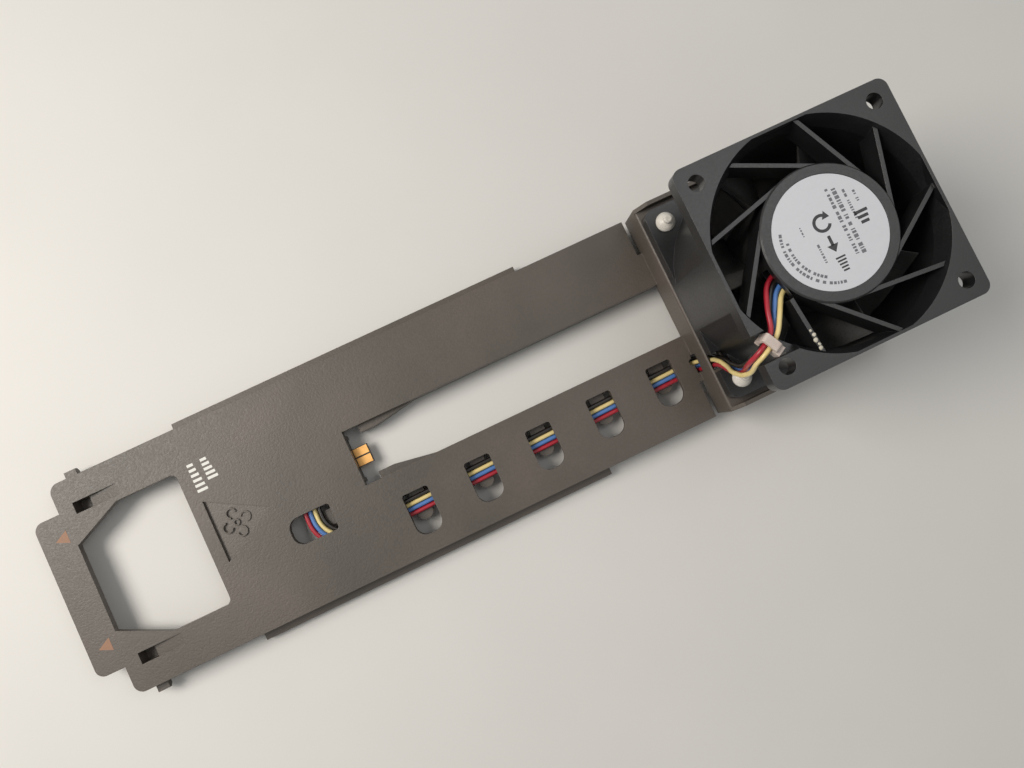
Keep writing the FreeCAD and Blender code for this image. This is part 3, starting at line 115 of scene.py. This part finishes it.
# Moulded plastics: patch is the size of the cloudy change in colour, grain and depth are those of the
# mould's skin, edge is the rounding of the corners, and the paler edge colour and how much of it is laid on make a
# painted highlight along that rounding.
# Grain is drawn at 0.25 mm or more, because the real 0.1 mm would not show.
plastics = {
    # a spark-eroded mould leaves a fine grain that dulls the black to a warm brown sheen
    "carrier_abs": dict(name="blackAbsSparkEroded", colour="#5a524b", dark="#49443d", patch=38, grain=0.55,
                        depth=0.12, rough=(0.38, 0.52), edge=0.22, edgeHighlight="#857c73", highlightShare=0.4, ior=1.53),
    # glass fibres just under a polished mould's skin: deep black with a broken gloss
    "frame_pbt": dict(name="blackPbtGlassFilled", colour="#1f1f20", dark="#171718", patch=12, grain=0.5,
                      depth=0.05, rough=(0.3, 0.42), edge=0.16, edgeHighlight="#6a6a6c", highlightShare=0.4, ior=1.56),
    # the same black plastic in smooth thin blades, painted greyer than the frame: a painted reflection of the room
    # they catch
    "impeller_pbt": dict(name="blackPbtImpellerPaintedSheen", colour="#5a5a59", dark="#484847", patch=9, grain=0.5,
                         depth=0.05, rough=(0.26, 0.38), edge=0.12, edgeHighlight="#505052", highlightShare=0.3, ior=1.56),
    # uncoloured nylon: milky and a little yellow
    "clip_plastic": dict(name="naturalNylonClip", colour="#d9d4c4", dark="#c8c2b0", patch=2, grain=0.3,
                         depth=0.04, rough=(0.38, 0.5), edge=0.08, edgeHighlight="#e8e4d8", highlightShare=0.2, ior=1.53),
    # uncoloured polyester: a flat cream with little gloss
    "insulator_plastic": dict(name="naturalPbtInsulator", colour="#cfc8b0", dark="#bdb599", patch=6, grain=0.35,
                              depth=0.05, rough=(0.45, 0.58), edge=0.1, edgeHighlight="#ddd8c6", highlightShare=0.2, ior=1.54),
    # pressed epoxy round a chip: a matt charcoal
    "chip_resin": dict(name="blackEpoxyResin", colour="#26262a", dark="#1c1c1f", patch=1.5, grain=0.3,
                       depth=0.08, rough=(0.5, 0.62), edge=0.06, edgeHighlight="#3a3a3d", highlightShare=0.2, ior=1.55),
    # nylon from a fine mould: black with an even, half-dull gloss
    "plug_plastic": dict(name="blackNylonConnector", colour="#343331", dark="#292826", patch=5, grain=0.35,
                         depth=0.05, rough=(0.4, 0.52), edge=0.1, edgeHighlight="#5e5c59", highlightShare=0.3, ior=1.53),
    # silicone rubber from a polished mould: a wet-looking off-white
    "mount_silicone": dict(name="whiteSiliconeMoulded", colour="#e4e1da", dark="#d2cdc2", patch=3, grain=0.35,
                           depth=0.04, rough=(0.2, 0.32), edge=0.12, edgeHighlight="#f2f0ea", highlightShare=0.15, ior=1.41),
    # moulded and stretched nylon: milky with a soft shine
    "tie_nylon": dict(name="naturalNylonTie", colour="#dccfc6", dark="#cbb9ae", patch=4, grain=0.35,
                      depth=0.05, rough=(0.34, 0.46), edge=0.1, edgeHighlight="#f0e8e2", highlightShare=0.25, ior=1.53),
    # ferrite powder pressed in nylon: brown-black and chalky
    "magnet_ferrite": dict(name="bondedFerrite", colour="#3b3835", dark="#2e2b29", patch=4, grain=0.25,
                           depth=0.12, rough=(0.6, 0.75), edge=0.08, edgeHighlight="#55514d", highlightShare=0.2, ior=1.6),
}

# Vinyl wire skins come off the die smooth, so each catches one thin bright line along its length.
vinyl = dict(ior=1.53, cloud=5, ripple=0.5, rough=(0.26, 0.38), strength=0.4, depth=0.02)
skins = {
    "wire_red": dict(vinyl, name="redVinylExtruded", colour="#b9283a", dark="#971a28"),
    "wire_yellow": dict(vinyl, name="yellowVinylExtruded", colour="#efdfa4", dark="#e2c87c"),
    "wire_blue": dict(vinyl, name="blueVinylExtruded", colour="#5c88c8", dark="#446fb0"),
    "wire_black": dict(vinyl, name="blackVinylExtruded", colour="#26221f", dark="#191614"),
}

# Metals keep the default IOR. marks is the spacing of the tool marks, and lay is the way they run:
# turned and ground pieces have rings up the axis, drawn ones have fine lines along it.
worked = dict(stain=4, stretch=0.04, strength=0.5, depth=0.03)
metals = {
    # zinc over drawn steel: a cool grey with a soft streaky shine
    "cup_steel": dict(worked, name="zincPlatedSteelDrawn", colour="#a7a8a6", dark="#8b8c8b", marks=0.3,
                      lay="drawn", rough=(0.28, 0.42)),
    # bright turned brass: yellow rings of light
    "bush_brass": dict(worked, name="brassTurned", colour="#c9a55a", dark="#b28c41", marks=0.25,
                       lay="turned", rough=(0.22, 0.36)),
    # ground steel: nearly a mirror, with hair-fine rings
    "shaft_steel": dict(worked, name="bearingSteelGround", colour="#c3c4c6", dark="#aeb0b2", marks=0.2,
                        lay="turned", rough=(0.12, 0.24)),
    # lapped rings: a mirror, a shade darker than the shaft
    "bearing_steel": dict(worked, name="bearingSteelPolished", colour="#bcbec1", dark="#a4a6aa", marks=0.2,
                          lay="turned", rough=(0.12, 0.22)),
    # turned brass that has dulled a little
    "tube_brass": dict(worked, name="brassTubeTurned", colour="#c6a158", dark="#ad8840", marks=0.25,
                       lay="turned", rough=(0.24, 0.38)),
    # drawn spring wire: grey with lines along it
    "spring_steel": dict(worked, name="springSteelDrawn", colour="#a9abad", dark="#8d8f92", marks=0.2,
                         lay="drawn", rough=(0.26, 0.4)),
    # a stack of half-millimetre sheets: their edges are dull rings
    "core_steel": dict(worked, name="siliconSteelLaminated", colour="#8a8b8d", dark="#5c5d60", marks=0.5,
                       lay="turned", rough=(0.35, 0.5)),
    # enamelled wire laid turn by turn: glossy red-brown ridges
    "coil_copper": dict(worked, name="enamelledCopperWound", colour="#b8642e", dark="#8c4319", marks=0.45,
                        lay="turned", rough=(0.24, 0.4)),
    # a deep-drawn can: pale with soft lines up it
    "capacitor_can": dict(worked, name="aluminiumCanDrawn", colour="#c5c7c9", dark="#abadb0", marks=0.25,
                          lay="drawn", rough=(0.3, 0.42)),
    # a thin gold plate on stamped strip: a warm, slightly cloudy shine
    "contact_gold": dict(worked, name="goldPlatedStamped", colour="#e8b676", dark="#d69f5c", marks=1.6,
                         lay="drawn", rough=(0.34, 0.46)),
}


def mouldedPlastic(finish):
    material, tree, shader, where = newMaterial(finish["name"], IOR=finish["ior"])
    patches = addNode(tree, "TexNoise", {"Scale": perMetre(finish["patch"]), "Detail": 3, "Roughness": 0.55},
                      {"Vector": where})
    grain = addNode(tree, "TexNoise", {"Scale": perMetre(finish["grain"]), "Detail": 2, "Roughness": 0.6},
                    {"Vector": where})
    spread = addNode(tree, "MapRange", {"From Min": 0.32, "From Max": 0.68}, {"Value": patches.outputs["Fac"]})
    cloudy = addNode(tree, "Mix", {mixFirst: toLinear(finish["dark"]), mixSecond: toLinear(finish["colour"])},
                     {mixFactor: spread.outputs["Result"]}, data_type="RGBA")
    # the grain also lightens and darkens the skin a little
    speck = addNode(tree, "MapRange", {**noiseBand, "To Min": 0.9, "To Max": 1.08}, {"Value": grain.outputs["Fac"]})
    skin = addNode(tree, "Mix", {mixFactor: 1.0},
                   {mixFirst: cloudy.outputs[mixResult], mixSecond: speck.outputs["Result"]},
                   data_type="RGBA", blend_type="MULTIPLY")
    # rounded edges, and a painted highlight: a paler line painted where the rounding leans off the flat face
    soft = addNode(tree, "Bevel", {"Radius": finish["edge"] * mm}, samples=4)
    flat = addNode(tree, "NewGeometry")
    lean = addNode(tree, "VectorMath", None, {0: soft.outputs["Normal"], 1: flat.outputs["Normal"]},
                   operation="DOT_PRODUCT")
    edge = addNode(tree, "MapRange", {"From Min": 0.99, "From Max": 0.75, "To Min": 0.0, "To Max": finish["highlightShare"]},
                   {"Value": lean.outputs["Value"]})
    # painted highlight: the skin colour is mixed towards the paler edge colour along the rounding
    edgeHighlight = addNode(tree, "Mix", {mixSecond: toLinear(finish["edgeHighlight"])},
                   {mixFactor: edge.outputs["Result"], mixFirst: skin.outputs[mixResult]}, data_type="RGBA")
    low, high = finish["rough"]
    gloss = addNode(tree, "MapRange", {**noiseBand, "To Min": low, "To Max": high}, {"Value": grain.outputs["Fac"]})
    bump = addNode(tree, "Bump", {"Strength": 0.6, "Distance": finish["depth"] * mm},
                   {"Height": grain.outputs["Fac"], "Normal": soft.outputs["Normal"]})
    plugIn(tree, shader, edgeHighlight, gloss, bump)
    return material


def vinylSkin(finish):
    material, tree, shader, where = newMaterial(finish["name"], IOR=finish["ior"])
    cloudy = addNode(tree, "TexNoise", {"Scale": perMetre(finish["cloud"]), "Detail": 2}, {"Vector": where})
    ripple = addNode(tree, "TexNoise", {"Scale": perMetre(finish["ripple"]), "Detail": 1}, {"Vector": where})
    dressSurface(tree, shader, finish, cloudy.outputs["Fac"], cloudy.outputs["Fac"], ripple.outputs["Fac"])
    return material


def workedMetal(finish):
    material, tree, shader, where = newMaterial(finish["name"], Metallic=1.0)
    # squeezing the pattern along the marks draws it out that way
    thin = finish["stretch"]
    squeeze = (thin, thin, 1) if finish["lay"] == "turned" else (1, 1, thin)
    stretched = addNode(tree, "Mapping", {"Scale": squeeze}, {"Vector": where})
    marks = addNode(tree, "TexNoise", {"Scale": perMetre(finish["marks"]), "Detail": 2},
                    {"Vector": stretched.outputs["Vector"]})
    stain = addNode(tree, "TexNoise", {"Scale": perMetre(finish["stain"]), "Detail": 3}, {"Vector": where})
    dressSurface(tree, shader, finish, stain.outputs["Fac"], marks.outputs["Fac"], marks.outputs["Fac"])
    return material


label = dict(colour="#d8dadf", dark="#cacdd3", rough=(0.3, 0.42), ripple=2.2, strength=0.3, depth=0.04)


def polyesterFilm():
    # coated polyester film: a cool white with a soft gloss and a faint ripple from the glue under it
    material, tree, shader, where = newMaterial("whitePolyesterFilm", IOR=1.57)
    ripple = addNode(tree, "TexNoise", {"Scale": perMetre(label["ripple"]), "Detail": 2}, {"Vector": where})
    height = ripple.outputs["Fac"]
    dressSurface(tree, shader, label, height, height, height)
    return material


board = dict(colour="#1f6b3c", dark="#17522d", thread=0.6, rough=(0.25, 0.4), strength=0.4, depth=0.03)


def glassEpoxy():
    # green solder mask over woven glass: the weave prints through as a fine square grid
    material, tree, shader, where = newMaterial("glassEpoxyLaminate", IOR=1.55)
    bands = perMetre(board["thread"]) * 2 * math.pi / 20  # the wave texture runs through 20 radians in one unit
    weave = {"Scale": bands, "Distortion": 0.6}
    along, across = [addNode(tree, "TexWave", weave, {"Vector": where}, bands_direction=way) for way in "XY"]
    both = addNode(tree, "Math", None, {0: along.outputs["Fac"], 1: across.outputs["Fac"]}, operation="MULTIPLY")
    height = both.outputs["Value"]
    dressSurface(tree, shader, board, height, height, height, fullBand)
    return material


finishes = {slot: mouldedPlastic(finish) for slot, finish in plastics.items()}
finishes.update({slot: vinylSkin(finish) for slot, finish in skins.items()})
finishes.update({slot: workedMetal(finish) for slot, finish in metals.items()})
finishes["label_film"] = polyesterFilm()
finishes["board_laminate"] = glassEpoxy()

nodeSlots = {
    "carrier": "carrier_abs", "fan_housing": "frame_pbt", "hub_label": "label_film",
    "impeller": "impeller_pbt", "rotor_cup": "cup_steel", "rotor_magnet": "magnet_ferrite",
    "shaft_bush": "bush_brass", "rotor_shaft": "shaft_steel", "shaft_clip": "clip_plastic",
    "lower_bearing": "bearing_steel", "upper_bearing": "bearing_steel", "bearing_tube": "tube_brass",
    "preload_spring": "spring_steel", "stator_core": "core_steel", "top_insulator": "insulator_plastic",
    "bottom_insulator": "insulator_plastic", "stator_coils": "coil_copper", "circuit_board": "board_laminate",
    "driver_chip": "chip_resin", "power_switch": "chip_resin", "hall_sensor": "chip_resin",
    "board_capacitor": "capacitor_can", "rubber_mounts": "mount_silicone", "connector_body": "plug_plastic",
    "connector_blade": "plug_plastic", "gold_contacts": "contact_gold", "black_wire": "wire_black",
    "yellow_wire": "wire_yellow", "blue_wire": "wire_blue", "red_wire": "wire_red", "cable_tie": "tie_nylon",
}
for name, slot in nodeSlots.items():
    nodes[name].data.materials[0] = finishes[slot]
print("materials assigned")

labelLow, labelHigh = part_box("hub_label")
fanX = (labelLow.x + labelHigh.x) / 2 / mm
labelTop = labelHigh.z / mm
plateTop = 8.0  # height of the carrier's plate over the floor


def newPiece(name, form, material):
    mesh = bpy.data.meshes.new(name)
    form.to_mesh(mesh)
    form.free()
    mesh.materials.append(material)
    piece = bpy.data.objects.new(name, mesh)
    bpy.context.scene.collection.objects.link(piece)
    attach(piece, "carrier_body")
    return piece


# Pad-printed ink lies 0.02 mm proud; it is drawn a touch thicker so that it clears the plastic.
ink = dict(proud=0.03, sunk=0.01, corner=0.12, cornerSteps=3, arcSteps=24)
pad = dict(ior=1.5, patch=0.8, strength=0.3, depth=0.02)


def printInk(finish):
    # a flat film of ink, slightly thin where the pad lifted
    material, tree, shader, where = newMaterial(finish["name"], IOR=finish["ior"])
    thin = addNode(tree, "TexNoise", {"Scale": perMetre(finish["patch"]), "Detail": 3}, {"Vector": where})
    thickness = thin.outputs["Fac"]
    dressSurface(tree, shader, finish, thickness, thickness, thickness, fullBand)
    return material


whiteInk = printInk(dict(pad, name="whitePadInk", colour="#f1f1ec", dark="#dcdcd4", rough=(0.44, 0.56)))
orangeInk = printInk(dict(pad, name="orangePadInk", colour="#a97c5c", dark="#85695a", rough=(0.54, 0.66)))
greyInk = printInk(dict(pad, name="greyLabelInk", colour="#5a5b61", dark="#7a7b81", rough=(0.39, 0.51)))
blackInk = printInk(dict(pad, name="blackLabelInk", colour="#1c1c20", dark="#2c2c31", rough=(0.34, 0.46)))


def addOutline(form, points, level):
    # one closed outline in millimetres about the fan's axis, laid on a surface at this height
    low = [form.verts.new(((fanX + x) * mm, y * mm, (level - ink["sunk"]) * mm)) for x, y in points]
    high = [form.verts.new(((fanX + x) * mm, y * mm, (level + ink["proud"]) * mm)) for x, y in points]
    form.faces.new(high)
    count = len(points)
    for i in range(count):
        j = (i + 1) % count
        form.faces.new((low[i], low[j], high[j], high[i]))


def bar(x, y, length, width, corner=ink["corner"]):
    # rounded bar about a middle point: length along X, width along Y
    corner = min(corner, width / 2, length / 2)
    points = []
    for quarter, (sx, sy) in enumerate(((1, 1), (-1, 1), (-1, -1), (1, -1))):
        for step in range(ink["cornerSteps"] + 1):
            a = (quarter + step / ink["cornerSteps"]) * math.pi / 2
            points.append((x + sx * (length / 2 - corner) + corner * math.cos(a),
                           y + sy * (width / 2 - corner) + corner * math.sin(a)))
    return points


def arc(x, y, radius, width, start, end, steps=ink["arcSteps"]):
    # band along part of a circle, from one angle in degrees to the other
    start, end = math.radians(start), math.radians(end)
    there = [start + (end - start) * i / steps for i in range(steps + 1)]
    sides = ((radius + width / 2, there), (radius - width / 2, there[::-1]))
    return [(x + r * math.cos(a), y + r * math.sin(a)) for r, angles in sides for a in angles]


def inkPiece(name, outlines, level, material):
    form = bmesh.new()
    for points in outlines:
        addOutline(form, points, level)
    bmesh.ops.recalc_face_normals(form, faces=form.faces[:])
    newPiece(name, form, material)


# white speed mark: two rows of plain ticks that grow along the row
# rows are (x, first y, last y, how many)
speedMark = dict(rows=((-177.7, 22.2, 14.8, 5), (-182.0, 22.2, 12.4, 6)), tall=3.3, shortest=0.6, stroke=0.85)
ticks = []
for x, start, end, count in speedMark["rows"]:
    for i in range(count):
        y = start + (end - start) * (i + 0.5) / count
        tall = speedMark["tall"] * (speedMark["shortest"] + (1 - speedMark["shortest"]) * i / (count - 1))
        ticks.append(bar(x - speedMark["tall"] / 2 + tall / 2, y, tall, speedMark["stroke"]))
inkPiece("speed_mark", ticks, plateTop, whiteInk)

# orange grip arrows at both ends of the nose, with the tip a little off the middle
gripArrows = dict(places=((-225.3, 17.5), (-226.2, -16.6)), half=2.0, tipOff=0.1)
arrows = []
for x, y in gripArrows["places"]:
    half = gripArrows["half"]
    arrows.append([(x - half, y - half * gripArrows["tipOff"]), (x + half, y + half), (x + half, y - half)])
inkPiece("grip_arrows", arrows, plateTop, orangeInk)

# hub label: ticks stand where the lines of small print were
# rows are (x, first y, last y, height of the print); rings are (radius, first angle, last angle)
finePrint = dict(
    rows=((9.9, 7.2, 4.2, 0.8), (7.6, 8.4, 0.4, 0.8), (5.4, 9.6, -8.4, 1.15), (3.7, 10.2, -7.6, 0.95),
          (-4.4, -1.5, -6.6, 0.6), (-6.6, 4.2, 1.6, 0.4)),
    lengths=(0.3, 0.45, 0.6, 0.9), heights=(0.8, 1.0, 1.0), least=0.2, gaps=(0.3, 0.9), corner=0.06,
    rings=((12.7, 158, 258), (11.3, 170, 240)), ringTall=0.75, ringTicks=(1.6, 4.2), ringGaps=(1.4, 4.0),
    ringSteps=3, closeShare=0.8)
fineLines = []
random.seed(7)


def nextGap(gaps):
    # most gaps are those between letters, the others those between words
    return gaps[0] if random.random() < finePrint["closeShare"] else gaps[1]


def tickRow(x, top, bottom, height):
    # a row of short ticks of uneven length, as tall as the small print it stands for
    y = top
    while y > bottom:
        length = min(random.choice(finePrint["lengths"]), y - bottom)
        if length > finePrint["least"]:
            tall = height * random.choice(finePrint["heights"])
            fineLines.append(bar(x, y - length / 2, tall, length, finePrint["corner"]))
        y -= length + nextGap(finePrint["gaps"])


for row in finePrint["rows"]:
    tickRow(*row)
for radius, start, end in finePrint["rings"]:
    angle = start
    while angle < end:
        width = random.uniform(*finePrint["ringTicks"])
        fineLines.append(arc(0, 0, radius, finePrint["ringTall"], angle, angle + width, finePrint["ringSteps"]))
        angle += width + nextGap(finePrint["ringGaps"])
inkPiece("label_lines", fineLines, labelTop, greyInk)

# turning arrow: three quarters of a ring with a head, clockwise seen from above
turning = dict(x=-1.0, y=2.9, radius=2.0, start=60, end=335, bold=0.8, headLong=1.7, headHalf=1.15)
boldMarks = [arc(turning["x"], turning["y"], turning["radius"], turning["bold"], turning["start"], turning["end"])]
tipAngle = math.radians(turning["start"])
across = Vector((math.cos(tipAngle), math.sin(tipAngle)))
ahead = Vector((math.sin(tipAngle), -math.cos(tipAngle)))
neck = Vector((turning["x"], turning["y"])) + across * turning["radius"]
boldMarks.append([tuple(neck + ahead * turning["headLong"]), tuple(neck + across * turning["headHalf"]),
                  tuple(neck - across * turning["headHalf"])])

# airflow arrow
airflow = dict(x=-1.0, middle=-1.9, stem=2.6, bold=0.8, neck=-3.0, tip=-5.0, headHalf=1.5)
boldMarks.append(bar(airflow["x"], airflow["middle"], airflow["bold"], airflow["stem"]))
boldMarks.append([(airflow["x"], airflow["tip"]), (airflow["x"] - airflow["headHalf"], airflow["neck"]),
                  (airflow["x"] + airflow["headHalf"], airflow["neck"])])

# plain bars where other marks stood, each shorter than the one before
barStacks = (dict(x=-0.6, top=-6.6, step=0.85, count=5, longest=2.6, shrink=0.25, width=0.45, corner=0.06),
             dict(x=9.2, top=1.6, step=1.35, count=3, longest=3.6, shrink=0.7, width=0.8, corner=0.1))
for stack in barStacks:
    for i in range(stack["count"]):
        boldMarks.append(bar(stack["x"], stack["top"] - stack["step"] * i, stack["longest"] - stack["shrink"] * i,
                             stack["width"], stack["corner"]))
inkPiece("label_marks", boldMarks, labelTop, blackInk)

# glue: pale drops that ran down where the wires' vane meets the rim, each a flattened uneven bead
# drops are (way along the vane from the hub's nearest point, way off its middle, width)
glue = dict(turn=95, tangent=17.0, flat=0.5, uneven=0.22, lump=0.7, rayFrom=100,
            drops=((-18.3, 0.1, 0.7), (-19.6, -0.1, 1.0), (-20.9, 0.15, 1.25), (-22.2, -0.1, 0.8),
                   (-23.2, 0.1, 1.1)))
housingTree = BVHTree.FromObject(nodes["fan_housing"], bpy.context.evaluated_depsgraph_get())


def glueDrops():
    form = bmesh.new()
    turn = Matrix.Rotation(math.radians(glue["turn"]), 2)
    for along, off, width in glue["drops"]:
        x, y = turn @ Vector((along, glue["tangent"] + off))
        above = Vector(((fanX + x) * mm, y * mm, glue["rayFrom"] * mm))
        hit = housingTree.ray_cast(above, Vector((0, 0, -1)))[0]
        for vert in bmesh.ops.create_icosphere(form, subdivisions=3, radius=width / 2 * mm)["verts"]:
            swell = 1 + glue["uneven"] * noise.noise(vert.co * perMetre(glue["lump"]) + Vector((x, y, 0)))
            vert.co = Vector((vert.co.x * swell, vert.co.y * swell, vert.co.z * swell * glue["flat"])) + hit
    return form


gluePiece = newPiece("glue_drops", glueDrops(), finishes["clip_plastic"])
for face in gluePiece.data.polygons:
    face.use_smooth = True
print("printed marks and glue made")

# painted board for the floor: an even pale matt surface with faint clouds
# the lamps are close, so far from the object the camera sees a little glow that keeps the board pale
floor = dict(colour="#e3e2de", dark="#dbdad6", patch=60, size=8.0, cells=24, glow="#ffffff", farGlow=0.4,
             glowFrom=330, glowTo=1100)
form = bmesh.new()
bmesh.ops.create_grid(form, x_segments=floor["cells"], y_segments=floor["cells"], size=floor["size"] / 2)
mesh = bpy.data.meshes.new("tableTop")
form.to_mesh(mesh)
form.free()
table = bpy.data.objects.new("tableTop", mesh)
table.location.z = cadBox[0].z
bpy.context.scene.collection.objects.link(table)
material, tree, shader, where = newMaterial("palePaintedBoard", IOR=1.5, Roughness=0.6)
patches = addNode(tree, "TexNoise", {"Scale": perMetre(floor["patch"]), "Detail": 4}, {"Vector": where})
tint = addNode(tree, "Mix", {mixFirst: toLinear(floor["dark"]), mixSecond: toLinear(floor["colour"])},
               {mixFactor: patches.outputs["Fac"]}, data_type="RGBA")
floorRays = addNode(tree, "LightPath")
away = addNode(tree, "VectorMath", None, {0: where}, operation="LENGTH")
far = addNode(tree, "MapRange", {"From Min": floor["glowFrom"] * mm, "From Max": floor["glowTo"] * mm,
                                 "To Max": floor["farGlow"]}, {"Value": away.outputs["Value"]},
              interpolation_type="SMOOTHSTEP")
glow = addNode(tree, "Math", None, {0: floorRays.outputs["Is Camera Ray"], 1: far.outputs["Result"]},
               operation="MULTIPLY")
shader.inputs["Emission Color"].default_value = toLinear(floor["glow"])
tree.links.new(tint.outputs[mixResult], shader.inputs["Base Color"])
tree.links.new(glow.outputs["Value"], shader.inputs["Emission Strength"])
mesh.materials.append(material)

lamps = dict(aim=(0, 0, 20),
             key=dict(place=(-370, 185, 480), size=0.34, power=3.0, colour="#fff8f0"),
             fill=dict(place=(270, 70, 540), size=0.3, power=0.38, colour="#ffffff"))


def softLamp(name, place, size, power, colour):
    data = bpy.data.lights.new(name, "AREA")
    data.shape = "DISK"
    data.size = size
    data.energy = power
    data.color = toLinear(colour)[:3]
    lamp = bpy.data.objects.new(name, data)
    lamp.location = Vector(place) * mm
    aim = Vector(lamps["aim"]) * mm - lamp.location
    lamp.rotation_euler = aim.to_track_quat("-Z", "Y").to_euler()
    bpy.context.scene.collection.objects.link(lamp)


softLamp("keyLamp", **lamps["key"])
softLamp("fillLamp", **lamps["fill"])

# the sky lights the object evenly; what the camera, gloss and glass see behind it is the backdrop
sky = dict(colour="#ffffff", level=0.27, backdrop="#d6d5d2")
world = bpy.data.worlds.new("studioSky")
world.use_nodes = True
bpy.context.scene.world = world
tree = world.node_tree
light = tree.nodes["Background"]
light.inputs["Color"].default_value = toLinear(sky["colour"])
light.inputs["Strength"].default_value = sky["level"]
backdrop = addNode(tree, "Background", {"Color": toLinear(sky["backdrop"]), "Strength": 1.0})
skyRays = addNode(tree, "LightPath")
either = addNode(tree, "Math", None, {0: skyRays.outputs["Is Camera Ray"], 1: skyRays.outputs["Is Glossy Ray"]},
                 operation="MAXIMUM")
shown = addNode(tree, "Math", None, {0: either.outputs["Value"], 1: skyRays.outputs["Is Transmission Ray"]},
                operation="MAXIMUM")
both = addNode(tree, "MixShader", None, {0: shown.outputs["Value"], 1: light.outputs["Background"],
                                         2: backdrop.outputs["Background"]})
tree.links.new(both.outputs["Shader"], tree.nodes["World Output"].inputs["Surface"])

# hand-held above the hub end: a 26 mm lens, tipped three degrees each way and rolled
view = dict(place=(2.6, -10.1, 236.9), tipX=-0.054, tipY=0.055, tipZ=-0.002, roll=-25.35, lens=26.37,
            sensor=36, nearest=10)
cameraData = bpy.data.cameras.new("camera")
cameraData.sensor_fit = "HORIZONTAL"
cameraData.sensor_width = view["sensor"]
cameraData.lens = view["lens"]
cameraData.clip_start = view["nearest"] * mm
camera = bpy.data.objects.new("camera", cameraData)
tipped = (Matrix.Rotation(view["tipZ"], 3, "Z") @ Matrix.Rotation(view["tipY"], 3, "Y")
          @ Matrix.Rotation(view["tipX"], 3, "X"))
turned = tipped.transposed() @ Matrix.Rotation(math.radians(view["roll"]), 3, "Z")
camera.matrix_world = Matrix.Translation(Vector(view["place"]) * mm) @ turned.to_4x4()
bpy.context.scene.collection.objects.link(camera)
bpy.context.scene.camera = camera
bpy.context.scene.view_settings.view_transform = "Standard"
print("light and camera set")
